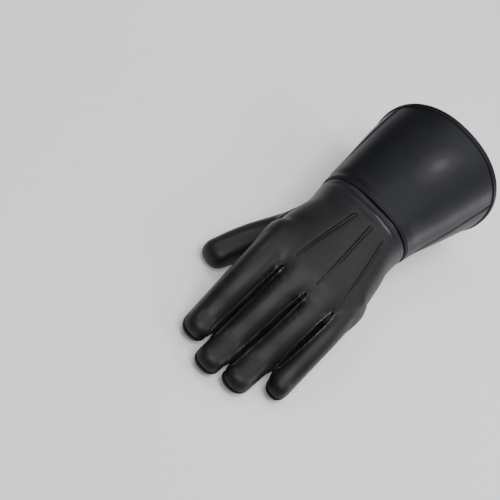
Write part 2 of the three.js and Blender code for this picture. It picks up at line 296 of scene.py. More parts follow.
@dataclass(frozen=True)
class Finger:
    """One finger in the flat layout, its sizes at the root and at the tip."""

    name: str
    u: float
    lean: float
    tip: float
    width: float
    tip_width: float
    height: float
    tip_height: float

    def centre(self, v: Array) -> Array:
        """The middle line's place across, at v."""
        return self.u + math.tan(math.radians(self.lean)) * (v - 99.5)

    def half(self, v: Array, root: float, tip: float) -> Array:
        """Half of a size at v, drawn in where the finger runs into the palm.

        Args:
            v: Places along the hand.
            root: The size at the root.
            tip: The size at the tip.

        Returns:
            Half of the size at each place.
        """
        share = np.clip((v - 64) / (self.tip - 64), 0, 1)
        drawn = np.interp(v, (64, 75, 86, 97), (0.72, 0.9, 0.97, 1))
        return (root + (tip - root) * share) * drawn / 2

    def half_width(self, v: Array) -> Array:
        """Half of the width at v."""
        return self.half(v, self.width, self.tip_width)

    def half_height(self, v: Array) -> Array:
        """Half of the height at v."""
        return self.half(v, self.height, self.tip_height)


@dataclass
class HandForm:
    """The hand as a distance field in the flat layout."""

    fingers: tuple[Finger, ...] = (
        Finger("index", -32.3, 2.4, 166, 22.8, 18.0, 21.4, 17.6),
        Finger("middle", -9.0, -0.8, 177, 21.4, 18.4, 21.6, 16.8),
        Finger("ring", 12.9, -2.6, 172, 20.4, 18.6, 20.8, 16.6),
        Finger("little", 30.2, 1.8, 152, 15.6, 14.8, 18.4, 16.6),
    )
    dome: float = 11.0
    half_slit: float = 0.85  # half of the narrowest slit between two fingers
    parting_u: float = -6.0
    parting_curve: float = 0.008
    web_reach: float = 3.4
    web: float = 7.5  # how widely the fingers' roots run into each other
    web_span: tuple[float, float] = (97.0, 112.0)  # where that fades, before the parting's curve
    thumb_reach: float = 6.0
    strip_root: float = 94.5  # where a strip's two seams meet, before the parting's curve
    strip_half: float = 1.8  # from a slit's middle to the seam on either side
    strip_opening: float = 10.0  # how far the two seams take to part
    press_top: float = 3.4  # up to this height the fingers touch, fully below press_full
    press_full: float = 0.4
    contact: float = -0.1  # from a slit's middle to a pressed side; below 0, the two sides overlap
    knuckle_reach: float = 8.0
    thumb_stations: int = 25
    frames: dict[str, Array] = field(default_factory=dict)

    def __post_init__(self) -> None:
        """Works out the thumb's middle line and its directions once."""
        line = THUMB_LINE
        chord = np.concatenate([[0], np.cumsum(np.linalg.norm(np.diff(line[:, :3], axis=0), axis=1))])
        table = Table(("s", "u", "v", "w", "a", "b"), tuple(map(tuple, np.column_stack([chord, line]))))
        s = np.linspace(0, chord[-1], self.thumb_stations)
        centre = np.stack([table.read(k, s) for k in "uvw"], axis=1)
        along = np.gradient(centre, s, axis=0)
        along /= np.linalg.norm(along, axis=1)[:, None]
        across = np.stack([along[:, 1], -along[:, 0], np.zeros(len(s))], axis=1)
        across /= np.linalg.norm(across, axis=1)[:, None]
        self.frames = {
            "centre": centre,
            "along": along,
            "across": across,
            "up": np.cross(across, along),
            "half": np.stack([table.read("a", s), table.read("b", s)], axis=1) / 2,
        }

    def palm(self, p: Array) -> Array:
        """The distance to the palm, which ends in an arc at the finger slits.

        Args:
            p: Points in the flat layout.

        Returns:
            About the distance to the surface, negative inside.
        """
        u, v, w = p.T
        arc = self.parting_curve * (u - self.parting_u) ** 2
        s = v
        for _ in range(3):
            s = v + PALM.read("follow", s) * arc
        left, right = PALM.read("left", s), PALM.read("right", s)
        height = np.where(w > 0, PALM.read("top", s), PALM.read("bottom", s))
        side = rounded_tube(u - (left + right) / 2, w, np.zeros_like(w), (right - left) / 2, height, 1)
        return -smooth_min(-side, 97.0 - s, 5.0)

    def finger(self, i: int, p: Array) -> Array:
        """The distance to one finger, flattened where it lies against its neighbours.

        Args:
            i: The finger's number, 0 for the index finger.
            p: Points in the flat layout.

        Returns:
            About the distance to the surface, negative inside.
        """
        u, v, w = p.T
        one = self.fingers[i]
        past = np.maximum(v - (one.tip - self.dome), 0) + np.maximum(72 - v, 0) * self.dome / 8
        d = rounded_tube(u - one.centre(v), w, past, one.half_width(v), one.half_height(v), self.dome)
        for j, side in ((i - 1, -1), (i + 1, 1)):
            if 0 <= j < len(self.fingers):
                wall = side * (u - self.between(min(i, j), v)) + self.half_slit
                d = -smooth_min(-d, -wall, 1.8)
        return d

    def between(self, i: int, v: Array) -> Array:
        """The middle of the slit after finger i."""
        one, other = self.fingers[i], self.fingers[i + 1]
        return (one.centre(v) + one.half_width(v) + other.centre(v) - other.half_width(v)) / 2

    def past_parting(self, p: Array) -> Array:
        """How far along the hand a point is, measured to the curve of the fingers' roots."""
        return p[:, 1] + self.parting_curve * (p[:, 0] - self.parting_u) ** 2

    def body(self, p: Array) -> Array:
        """The distance to the palm and the four fingers.

        Args:
            p: Points in the flat layout.

        Returns:
            About the distance to the surface, negative inside.
        """
        d = self.palm(p)
        near = p[:, 1] > 60
        fingers = np.full(len(p), 99.0)
        first, last = self.web_span
        web = np.maximum(self.web * ramp(self.past_parting(p[near]), last, first), 0.01)
        for i in range(len(self.fingers)):
            fingers[near] = smooth_min(fingers[near], self.finger(i, p[near]), web)
        u, _, w = p.T
        top = np.maximum(ramp(np.abs(w), 3.5, 9.5), ramp(np.abs(u + 2.8), 33, 39))
        return smooth_min(d, fingers, self.web_reach + (self.knuckle_reach - self.web_reach) * top)

    def thumb(self, p: Array) -> Array:
        """The distance to the thumb, along its curved middle line.

        Args:
            p: Points in the flat layout.

        Returns:
            About the distance to the surface, negative inside.
        """
        d = np.full(len(p), 99.0)
        u, v, w = p.T
        near = np.flatnonzero((u < 6) & (v > 2) & (v < 112) & (w < 18))
        for start in range(0, len(near), 60000):
            rows = near[start : start + 60000]
            d[rows] = self.thumb_part(p[rows])
        return d

    def thumb_part(self, p: Array) -> Array:
        """The distance to the thumb for a block of points near it.

        Args:
            p: Points in the flat layout.

        Returns:
            About the distance to the surface, negative inside.
        """
        centre, half = self.frames["centre"], self.frames["half"]
        step = centre[1:] - centre[:-1]
        length = (step * step).sum(axis=1)
        lead = p @ step.T - (centre[:-1] * step).sum(axis=1)
        t = np.clip(lead / length, 0, 1)
        square = np.zeros_like(t)
        for k in range(3):
            square += (p[:, k : k + 1] - centre[:-1, k] - t * step[:, k]) ** 2
        best = square.argmin(axis=1)
        t = t[np.arange(len(p)), best][:, None]

        def blend(name: str) -> Array:
            """One of the line's frames, between its two nearest stations."""
            values = self.frames[name]
            return values[best] * (1 - t) + values[best + 1] * t

        away = p - blend("centre")
        across, up, along = ((away * blend(k)).sum(axis=1) for k in ("across", "up", "along"))
        half = blend("half")
        past = np.maximum(along, 0) * (best == len(step) - 1)
        root = np.maximum(-along, 0) * (best == 0) * self.dome / 9
        return rounded_tube(across, up, past + root, half[:, 0], half[:, 1], self.dome)

    def whole(self, p: Array) -> Array:
        """The distance to the whole hand."""
        return smooth_min(self.body(p), self.thumb(p), self.thumb_reach)

    def thumb_seam(self, p: Array) -> Array:
        """Negative on the thumb, positive on the rest, 0 on the seam between them."""
        return self.thumb(p) - self.body(p)

    def strip(self, i: int, p: Array) -> Array:
        """Negative on the strip between fingers i and i + 1, 0 on its two seams.

        Args:
            i: The number of the finger before the strip.
            p: Points in the flat layout.

        Returns:
            About the distance to the nearer seam.
        """
        u, v, _ = p.T
        one, other = self.fingers[i], self.fingers[i + 1]
        past = self.past_parting(p) - self.strip_root
        open_share = np.clip(past / self.strip_opening, 0, 1)
        half = self.strip_half * open_share
        end = min(one.tip, other.tip) - self.dome * 0.35
        half = half * np.sqrt(np.clip((end - v) / 8, 0, 1))
        value = np.abs(u - self.between(i, v)) - half + np.maximum(v - end, 0)
        inside = (u > one.centre(v)) & (u < other.centre(v)) & (past > -3)
        return np.where(inside, value, 30.0)

    def pressed(self, p: Array) -> Array:
        """Moves the sides of the fingers together, below the rounded tops of the slits.

        Args:
            p: Points on the skin, in the flat layout.

        Returns:
            The moved points.
        """
        u, v, w = p.T
        moved = p.copy()
        past = self.past_parting(p)
        for i in range(len(self.fingers) - 1):
            one, other = self.fingers[i], self.fingers[i + 1]
            aside = u - self.between(i, v)
            near = (u > one.centre(v)) & (u < other.centre(v)) & (past > 97)
            end = min(one.tip, other.tip) - self.dome
            stations = np.arange(98.0, end + 2)
            for side in (-1, 1):
                rows = near & (aside * side > 0)
                wall = rows & (np.abs(w) < 1.5) & (np.abs(aside) > 0.5) & (np.abs(aside) < 3.5)
                found = [np.abs(aside[wall & (np.abs(v - at) < 1.2)]) for at in stations]
                known = [k for k, values in enumerate(found) if len(values)]
                gap = np.interp(v[rows], stations[known], [np.median(found[k]) for k in known])
                reach = ramp(past[rows], 97.0, 99.0) * ramp(w[rows], self.press_top, self.press_full)
                reach = reach * ramp(v[rows], end + 4, end - 5)
                far = ramp(np.abs(aside[rows]), gap + 7.0, gap)
                moved[rows, 0] -= side * np.maximum(gap - self.contact, 0) * reach * far
        return moved


def gradient(distance: Field, p: Array) -> Array:
    """The slope of a field at some points, by small steps either way.

    Args:
        distance: The field.
        p: The points.

    Returns:
        The slope along each axis, one row a point.
    """
    step = 0.05
    slope = np.empty_like(p)
    for k in range(3):
        move = np.zeros(3)
        move[k] = step
        slope[:, k] = (distance(p + move) - distance(p - move)) / (2 * step)
    return slope


# Triangle skins


def surface_net(values: Array, corner: Array, step: float) -> tuple[Array, Array]:
    """Skins the zero level of a sampled field with four-sided faces.

    Args:
        values: The field on a regular grid.
        corner: The grid's first point.
        step: The grid's spacing.

    Returns:
        The skin's points and its faces, which point to the positive side.
    """
    size = np.array(values.shape) - 1
    total = np.zeros((int(size.prod()), 3))
    count = np.zeros(int(size.prod()))
    quads = []
    for axis in range(3):
        low, high = [slice(None)] * 3, [slice(None)] * 3
        low[axis], high[axis] = slice(0, -1), slice(1, None)
        a, b = values[tuple(low)], values[tuple(high)]
        at = np.argwhere((a < 0) != (b < 0))
        fa, fb = a[tuple(at.T)].astype(float), b[tuple(at.T)].astype(float)
        spot = at.astype(float)
        spot[:, axis] += fa / (fa - fb)
        around = np.repeat(at[:, None, :], 4, axis=1)
        around[:, :, (axis + 1) % 3] += np.array([-1, 0, 0, -1])
        around[:, :, (axis + 2) % 3] += np.array([-1, -1, 0, 0])
        fits = ((around >= 0) & (around < size)).all(axis=2)
        cells = np.clip(around, 0, size - 1)
        ids = np.ravel_multi_index(tuple(cells.transpose(2, 0, 1)), tuple(size))
        for k in range(4):
            good = fits[:, k]
            np.add.at(total, ids[good, k], spot[good])
            np.add.at(count, ids[good, k], 1)
        whole = fits.all(axis=1)
        quad = ids[whole]
        turned = fa[whole] >= 0
        quad[turned] = quad[turned][:, ::-1]
        quads.append(quad)
    faces = np.concatenate(quads)
    used, faces = np.unique(faces, return_inverse=True)
    points = corner + step * total[used] / count[used, None]
    return points, faces.reshape(-1, 4)


def side_pairs(faces: Array, points: int) -> tuple[Array, Array]:
    """Lists the edges of a mesh once.

    Args:
        faces: The faces' corners.
        points: The number of points.

    Returns:
        The two ends of each edge, and each face's edges in the order of its corners.
    """
    ends = np.stack([faces, np.roll(faces, -1, axis=1)], axis=2).reshape(-1, 2)
    key = ends.min(axis=1).astype(np.int64) * points + ends.max(axis=1)
    keys, which = np.unique(key, return_inverse=True)
    return np.stack([keys // points, keys % points], axis=1), which.reshape(faces.shape)


@dataclass
class Skin:
    """A triangle skin with a number on each face and named values on its points."""

    points: Array
    faces: Array
    kinds: Array
    marks: dict[str, Array] = field(default_factory=dict)

    def split(self, pairs: Array, sides: Array, chosen: Array, share: Array) -> None:
        """Puts a point on each chosen edge and splits the faces beside it.

        Args:
            pairs: The two ends of each edge.
            sides: Each face's edges.
            chosen: True for the edges to split.
            share: Where each edge is split, from its first end.
        """
        fresh = np.full(len(pairs), -1)
        fresh[chosen] = len(self.points) + np.arange(int(chosen.sum()))
        a, b = pairs[chosen].T
        t = share[chosen]
        added = self.points[a] + (self.points[b] - self.points[a]) * t[:, None]
        self.points = np.vstack([self.points, added])
        for name, mark in self.marks.items():
            self.marks[name] = np.concatenate([mark, mark[a] + (mark[b] - mark[a]) * t])
        middle = fresh[sides]
        number = (middle >= 0).sum(axis=1)
        faces, kinds = [self.faces[number == 0]], [self.kinds[number == 0]]

        def rolled(rows: Array, first: Array) -> tuple[Array, Array]:
            """The corners and new points of some faces, from the given corner on.

            Args:
                rows: True for the faces.
                first: Each one's corner to start from.

            Returns:
                The three corners, and the new point after each.
            """
            order = (first[:, None] + np.arange(3)) % 3
            at = np.flatnonzero(rows)[:, None]
            return self.faces[at, order].T, middle[at, order].T

        def keep(rows: Array, parts: Sequence[Sequence[Array]]) -> None:
            """Adds the parts of some faces.

            Args:
                rows: True for the faces that are split.
                parts: The three corners of each part.
            """
            for part in parts:
                faces.append(np.stack(part, axis=1))
                kinds.append(self.kinds[rows])

        one = number == 1
        (p, q, r), (m, _, _) = rolled(one, (middle[one] >= 0).argmax(axis=1))
        keep(one, [(p, m, r), (m, q, r)])
        two = number == 2
        (p, q, r), (m, n, _) = rolled(two, ((middle[two] < 0).argmax(axis=1) + 1) % 3)
        short = np.linalg.norm(self.points[p] - self.points[n], axis=1) < np.linalg.norm(
            self.points[m] - self.points[r], axis=1
        )
        keep(two, [(m, q, n)])
        keep(two, [(np.where(short, p, m), np.where(short, m, n), np.where(short, n, r))])
        keep(two, [(p, np.where(short, n, m), r)])
        three = number == 3
        (p, q, r), (m, n, o) = rolled(three, np.zeros(int(three.sum()), int))
        keep(three, [(p, m, o), (m, q, n), (o, n, r), (m, n, o)])
        self.faces, self.kinds = np.concatenate(faces), np.concatenate(kinds)

    def refine(self, near: Array, longest: float) -> None:
        """Halves the edges that are near a seam and longer than the given length.

        Args:
            near: True for the points near a seam.
            longest: The longest edge that is left whole.
        """
        pairs, sides = side_pairs(self.faces, len(self.points))
        length = np.linalg.norm(self.points[pairs[:, 0]] - self.points[pairs[:, 1]], axis=1)
        chosen = near[pairs].all(axis=1) & (length > longest)
        self.split(pairs, sides, chosen, np.full(len(pairs), 0.5))

    def cut(self, name: str, snap: float, faces: Array | None = None) -> None:
        """Cuts the skin along the zero line of a mark.

        Args:
            name: The mark's name.
            snap: Values this near to 0 count as 0, so that no sliver is left.
            faces: True for the faces to cut, or None for all of them.
        """
        value = self.marks[name]
        rows = self.faces if faces is None else self.faces[faces]
        allowed = np.zeros(len(self.points), bool)
        allowed[rows.ravel()] = True
        value[allowed & (np.abs(value) < snap)] = 0
        pairs, sides = side_pairs(self.faces, len(self.points))
        active = np.zeros(len(pairs), bool)
        active[(sides if faces is None else sides[faces]).ravel()] = True
        a, b = value[pairs].T
        chosen = active & (a * b < 0)
        share = np.full(len(pairs), 0.5)
        share[chosen] = a[chosen] / (a[chosen] - b[chosen])
        self.split(pairs, sides, chosen, share)
        value = self.marks[name]
        value[np.abs(value) < 1e-9] = 0


# Mesh pieces


@dataclass
class Piece:
    """One finished piece: its mesh in millimetres in the part's frame, and what it stands for."""

    name: str
    points: Array
    faces: Array
    finish: bpy.types.Material
    slot: str
    node: str | None = None
    marks: dict[str, Array] = field(default_factory=dict)
    crease: float = 50.0

    def add(self) -> bpy.types.Object:
        """Writes the mesh, dresses it, and ties it to its body.

        Returns:
            The piece's object, at the origin.
        """
        mesh = bpy.data.meshes.new(self.name)
        mesh.vertices.add(len(self.points))
        mesh.vertices.foreach_set("co", (self.points * METRE).astype(np.float32).ravel())
        mesh.loops.add(self.faces.size)
        mesh.loops.foreach_set("vertex_index", self.faces.astype(np.int32).ravel())
        mesh.polygons.add(len(self.faces))
        starts = np.arange(0, self.faces.size, self.faces.shape[1], dtype=np.int32)
        mesh.polygons.foreach_set("loop_start", starts)
        mesh.polygons.foreach_set("use_smooth", np.ones(len(self.faces), bool))
        mesh.update(calc_edges=True)
        for name, values in self.marks.items():
            layer = mesh.attributes.new(name, "FLOAT", "POINT")
            layer.data.foreach_set("value", values.astype(np.float32))
        mesh.validate()
        mesh.set_sharp_from_angle(angle=math.radians(self.crease))
        mesh.materials.append(self.finish)
        made = bpy.data.objects.new(self.name, mesh)
        bpy.context.scene.collection.objects.link(made)
        tie(made, self.node)
        return made


def tie(made: bpy.types.Object, node: str | None) -> None:
    """Ties a piece to the glove's body, hides the solid that it stands for, and reports it.

    Args:
        made: The piece's object.
        node: The solid that it stands for, if any.
    """
    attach(made, BODY)
    if node:
        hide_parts(node)
    log.info("%s: %d faces, for %s", made.name, len(made.data.polygons), node or "its detail")


def closed_wall(outer: Array, inner: Array, faces: Array) -> tuple[Array, Array]:
    """Closes an open skin into a wall, with its inner face and its rims.

    Args:
        outer: The outer points.
        inner: The inner points, one for each outer point.
        faces: The outer triangles, pointing outwards.

    Returns:
        The wall's points, outer before inner, and its triangles.
    """
    ends = np.stack([faces, np.roll(faces, -1, axis=1)], axis=2).reshape(-1, 2)
    n = len(outer)
    key = ends[:, 0].astype(np.int64) * n + ends[:, 1]
    back = ends[:, 1].astype(np.int64) * n + ends[:, 0]
    a, b = ends[~np.isin(key, back)].T
    rims = np.concatenate([np.stack([b, a, a + n], axis=1), np.stack([b, a + n, b + n], axis=1)])
    return np.vstack([outer, inner]), np.concatenate([faces, faces[:, ::-1] + n, rims])


# The hand


class Kind(Enum):
    """The pieces that the hand is sewn from."""

    BACK = 0
    PALM = 1
    INDEX_MIDDLE = 2
    MIDDLE_RING = 3
    RING_LITTLE = 4
    THUMB = 5


HAND_NODES = {
    Kind.BACK: "hand_back",
    Kind.PALM: "hand_palm",
    Kind.INDEX_MIDDLE: "fourchette_index_middle",
    Kind.MIDDLE_RING: "fourchette_middle_ring",
    Kind.RING_LITTLE: "fourchette_ring_little",
    Kind.THUMB: "thumb",
}
STRIPS = (Kind.INDEX_MIDDLE, Kind.MIDDLE_RING, Kind.RING_LITTLE)


@dataclass(frozen=True)
class Fold:
    """A soft fold pressed into the leather along a bowed line in the flat layout."""

    start: tuple[float, float]
    end: tuple[float, float]
    depth: float
    width: float
    bow: float = 0.0
    on_back: bool = True

    def press(self, p: Array) -> Array:
        """How far the fold moves each point out (+) or in (-).

        Args:
            p: Points in the flat layout.

        Returns:
            The move of each point, in millimetres.
        """
        a, b = np.array(self.start), np.array(self.end)
        run = b - a
        length = float(np.linalg.norm(run))
        run = run / length
        away = p[:, :2] - a
        t = away @ run
        share = np.clip(t / length, 0, 1)
        aside = away @ np.array([-run[1], run[0]]) - 4 * self.bow * share * (1 - share)
        ends = ramp(t, -0.25 * length, 0.25 * length) * ramp(t, 1.25 * length, 0.75 * length)
        side = ramp(p[:, 2], -3, 3) if self.on_back else ramp(p[:, 2], 3, -3)
        trough = bump(aside, 0, self.width)
        lip = bump(aside, 2.1 * self.width, self.width) + bump(aside, -2.1 * self.width, self.width)
        return side * ends * self.depth * (0.45 * lip - trough)


HAND_FOLDS = (
    # Across the back beside the wrist seam
    Fold((-34, 6.5), (12, 6.0), 0.62, 2.1, 0.8),
    Fold((-26, 13.0), (2, 15.0), 0.34, 2.4, 1.0),
    Fold((4, 9.0), (28, 7.0), 0.30, 1.9, -0.6),
    # Beside the finger slits
    Fold((-21.5, 104.0), (-26.0, 108.5), 0.10, 0.7, 0.3),
    Fold((-18.5, 100.0), (-13.0, 103.0), 0.09, 0.7, -0.3),
    Fold((-15.0, 107.0), (-10.0, 109.5), 0.09, 0.8, 0.3),
    Fold((5.0, 104.0), (10.5, 107.5), 0.11, 0.7, 0.3),
    Fold((4.5, 108.5), (9.0, 111.5), 0.09, 0.7, 0.3),
    Fold((24.5, 96.0), (29.5, 99.5), 0.10, 0.7, 0.3),
    Fold((20.0, 92.0), (14.5, 96.0), 0.09, 0.8, -0.3),
    # Across the palm and under the fingers
    Fold((-6, 78.0), (30, 66.0), 0.75, 1.9, -2.0, False),
    Fold((-34, 74.0), (4, 60.0), 0.65, 1.9, 2.4, False),
    Fold((-4, 54.0), (8, 22.0), 0.70, 2.2, 3.0, False),
    Fold((-20, 9.0), (20, 8.0), 0.60, 2.0, 1.0, False),
    Fold((-42, 118.0), (-22, 118.0), 0.55, 1.3, -0.6, False),
    Fold((-19, 122.0), (1, 122.0), 0.60, 1.3, -0.6, False),
    Fold((3, 120.0), (22, 120.0), 0.55, 1.3, -0.6, False),
    Fold((23, 112.0), (40, 111.0), 0.50, 1.2, -0.5, False),
)


def undulation(p: Array, amplitude: float, shortest: float) -> Array:
    """The slight unevenness of soft leather, as a sum of slow waves.

    Args:
        p: The points, in millimetres.
        amplitude: About the largest height.
        shortest: The shortest wave, in millimetres.

    Returns:
        The height at each point.
    """
    draw = np.random.RandomState(7)
    total = np.zeros(len(p))
    for k in range(10):
        direction = draw.normal(size=3)
        direction /= np.linalg.norm(direction)
        wave = shortest * (1 + 0.28 * k)
        total += np.sin(2 * math.pi * (p @ direction) / wave + draw.uniform(0, 6.28))
    return amplitude * total / math.sqrt(10)


@dataclass
class Hand:
    """The sewn hand: back, palm, the strips between the fingers, and the thumb."""

    finish: bpy.types.Material
    form: HandForm = field(default_factory=HandForm)
    wrist_line: tuple[Array, Array] = (np.zeros(2), np.zeros(2))
    grid_step: float = 1.0
    corner: tuple[float, float, float] = (-70.0, -12.0, -46.0)
    far: tuple[float, float, float] = (43.0, 181.0, 25.0)
    wall: float = 1.25
    hem: float = -6.0  # where the leather ends, under the cuff
    lap: float = 1.7
    seam_depth: float = 0.95
    seam_width: float = 0.62
    strip_inset: float = 1.0  # how far a strip stands back from the lips of its slit
    lip_under: float = 0.2  # the height of a slit's lips on the palm's side
    lip_over: float = 0.42  # how much higher they are on the back
    swell: float = 0.26  # the height of the leather beside the other seams
    row_depth: float = 0.4  # the depth of the groove that a point's stitches lie in
    row_width: float = 0.32
    unevenness: float = 0.17
    shortest_wave: float = 17.0
    snap: float = 0.13  # points this near to a seam are moved onto it
    parting: float = 0.12
    points: tuple[tuple[tuple[float, float], tuple[float, float]], ...] = (
        ((-12.0, 24.0), (-19.0, 84.0)),
        ((1.5, 23.0), (3.0, 86.0)),
        ((14.3, 22.0), (21.5, 79.0)),
    )
    ridge_height: float = 0.36
    ridge_half: float = 0.75
    row_offset: float = 1.05  # from a point's crest to either row of its stitches
    narrowing: float = 0.4
    fading: float = 0.45
    skin: Skin | None = None

    def build(self) -> list[bpy.types.Object]:
        """Makes the hand's six leather pieces.

        Returns:
            Their objects.
        """
        self.skin = self.first_skin()
        self.sharpen()
        self.part_seams()
        return self.pieces()

    def first_skin(self) -> Skin:
        """Skins the hand's field and evens the skin out.

        Returns:
            A triangle skin that lies on the field's surface.
        """
        axes = [np.arange(a, b, self.grid_step) for a, b in zip(self.corner, self.far)]
        values = np.empty([len(axis) for axis in axes], np.float32)
        plane = np.stack(np.meshgrid(axes[1], axes[2], indexing="ij"), axis=-1).reshape(-1, 2)
        block = 12
        for start in range(0, len(axes[0]), block):
            us = axes[0][start : start + block]
            p = np.column_stack([np.repeat(us, len(plane)), np.tile(plane, (len(us), 1))])
            values[start : start + block] = self.form.whole(p).reshape(len(us), *values.shape[1:])
        points, quads = surface_net(values, np.array(self.corner), self.grid_step)
        pairs, _ = side_pairs(quads, len(points))
        degree = np.bincount(pairs.ravel(), minlength=len(points))[:, None]
        for _ in range(4):
            total = np.zeros_like(points)
            np.add.at(total, pairs[:, 0], points[pairs[:, 1]])
            np.add.at(total, pairs[:, 1], points[pairs[:, 0]])
            points = self.onto(0.45 * points + 0.55 * total / degree)
        diagonals = points[quads[:, :2]] - points[quads[:, 2:]]
        first, second = np.linalg.norm(diagonals, axis=2).T
        straight = np.concatenate([quads[:, [0, 1, 2]], quads[:, [0, 2, 3]]])
        crossed = np.concatenate([quads[:, [0, 1, 3]], quads[:, [1, 2, 3]]])
        faces = np.where(np.tile(first <= second, 2)[:, None], straight, crossed)
        return Skin(points, faces, np.full(len(faces), Kind.PALM.value))

    def onto(self, p: Array, rounds: int = 1) -> Array:
        """Moves points onto the hand's surface.

        Args:
            p: Points near the surface.
            rounds: How often to move them.

        Returns:
            The moved points.
        """
        for _ in range(rounds):
            slope = gradient(self.form.whole, p)
            square = np.maximum((slope * slope).sum(axis=1), 0.05)
            p = p - slope * (np.clip(self.form.whole(p), -1, 1) / square)[:, None]
        return p

    def nearest(self, p: Array) -> Array:
        """About how far each point is from the nearest seam or the wrist edge.

        Args:
            p: Points on the skin.

        Returns:
            The distance for each point.
        """
        strips = np.min([np.abs(self.form.strip(i, p)) for i in range(3)], axis=0)
        inside = np.min([self.form.strip(i, p) for i in range(3)], axis=0) < 0
        thumb = self.form.thumb_seam(p)
        side = np.where(inside | (thumb < 0), 30.0, np.abs(p[:, 2]))
        near = np.minimum(np.minimum(strips, np.abs(thumb)), side)
        return np.minimum(near, np.abs(p[:, 1] - self.wrist_at(p) - 0.8))

    def ridge(self, p: Array) -> tuple[Array, Array]:
        """Finds the nearest of the three points.

        Args:
            p: Places on the skin.

        Returns:
            The distance from the point's crest, in its own widths there, and its strength there.
        """
        best, strength = np.full(len(p), 30.0), np.zeros(len(p))
        for start, end in self.points:
            a, b = np.array(start), np.array(end)
            run = b - a
            t = np.clip(((p[:, :2] - a) @ run) / (run @ run), 0, 1)
            distance = np.linalg.norm(p[:, :2] - a - t[:, None] * run, axis=1)
            distance = distance / (1 - self.narrowing * t)
            strength = np.where(distance < best, 1 - self.fading * t, strength)
            best = np.minimum(best, distance)
        return np.where(p[:, 2] > 4, best, 30.0), strength

    def wrist_at(self, p: Array) -> Array:
        """The cuff's edge on the flat layout, round the wrist."""
        turns, places = self.wrist_line
        return np.interp(np.arctan2(p[:, 2], p[:, 0] + 4.7), turns, places, period=2 * math.pi)

    def sharpen(self) -> None:
        """Gives the skin smaller faces beside its seams, its points and the wrist."""
        skin = self.skin
        for reach, longest in ((2.1, 0.6), (1.2, 0.36)):
            seams = self.nearest(skin.points) < reach
            ridges = self.ridge(skin.points)[0] < 2.3
            skin.refine(seams & (reach > 2) | ridges, longest)
            skin.points = self.onto(skin.points)

    def part_seams(self) -> None:
        """Cuts the skin along its seams and gives each face the piece that it belongs to."""
        skin, form, snap = self.skin, self.form, self.snap
        cuts: list[tuple[str, Field, Kind]] = [("thumb", form.thumb_seam, Kind.THUMB)]
        for i, kind in enumerate(STRIPS):
            cuts.append((kind.name, lambda p, i=i: form.strip(i, p), kind))
        for name, value, kind in cuts:
            skin.marks[name] = value(skin.points)
            skin.cut(name, snap)
            skin.kinds[skin.marks[name][skin.faces].sum(axis=1) < 0] = kind.value
            self.onto_line(name, value)
        plain = skin.kinds == Kind.PALM.value
        skin.marks["side"] = skin.points[:, 2].copy()
        skin.cut("side", snap, plain)
        plain = skin.kinds == Kind.PALM.value
        skin.kinds[plain & (skin.marks["side"][skin.faces].sum(axis=1) > 0)] = Kind.BACK.value
        seam = np.zeros(len(skin.points), bool)
        seam[skin.faces[plain].ravel()] = True
        self.onto_line("side", lambda p: p[:, 2], seam)
        skin.marks["hem"] = skin.points[:, 1] - self.hem
        skin.cut("hem", 0.2)
        kept = skin.marks["hem"][skin.faces].sum(axis=1) > 0
        skin.faces, skin.kinds = skin.faces[kept], skin.kinds[kept]

    def onto_line(self, name: str, value: Field, rows: Array | None = None) -> None:
        """Moves the points of a cut exactly onto its line on the surface.

        Args:
            name: The mark that the skin was cut along.
            value: The field whose zero line it is.
            rows: True for the points that may move, or None for all of them.
        """
        skin = self.skin
        line = skin.marks[name] == 0
        if rows is not None:
            line &= rows
        p = skin.points[line]
        for _ in range(2):
            normal = gradient(self.form.whole, p)
            normal /= np.linalg.norm(normal, axis=1)[:, None]
            slope = gradient(value, p)
            slope -= normal * (slope * normal).sum(axis=1)[:, None]
            square = (slope * slope).sum(axis=1)
            step = np.clip(value(p), -0.2, 0.2) / np.maximum(square, 0.2)
            p = self.onto(p - slope * step[:, None])
        skin.points[line] = p

    def seam_samples(self) -> tuple[Array, Array]:
        """Finds the seams as the points where two pieces meet.

        Returns:
            The points on the seams, and for each 1 where it is a strip's seam, else 0.
        """
        skin = self.skin
        pairs, sides = side_pairs(skin.faces, len(skin.points))
        low = np.full(len(pairs), 9)
        high = np.full(len(pairs), -1)
        for k in range(3):
            np.minimum.at(low, sides[:, k], skin.kinds)
            np.maximum.at(high, sides[:, k], skin.kinds)
        seam = low != high
        ends = pairs[seam]
        strip = np.isin(high[seam], [kind.value for kind in STRIPS]).astype(float)
        middle = skin.points[ends].mean(axis=1)
        return (
            np.vstack([skin.points[ends[:, 0]], middle, skin.points[ends[:, 1]]]),
            np.tile(strip, 3),
        )

    def seam_distance(self) -> tuple[Array, Array]:
        """The distance from each point of the skin to the nearest seam, and whether it is a strip's.

        Returns:
            Each point's distance, and 1 for a strip's seam, else 0.
        """
        samples, strip = self.seam_samples()
        tree = kdtree.KDTree(len(samples))
        for i, p in enumerate(samples.tolist()):
            tree.insert(p, i)
        tree.balance()
        found = [tree.find(p) for p in self.skin.points.tolist()]
        distance = np.array([hit[2] for hit in found])
        return distance, strip[[hit[1] for hit in found]]

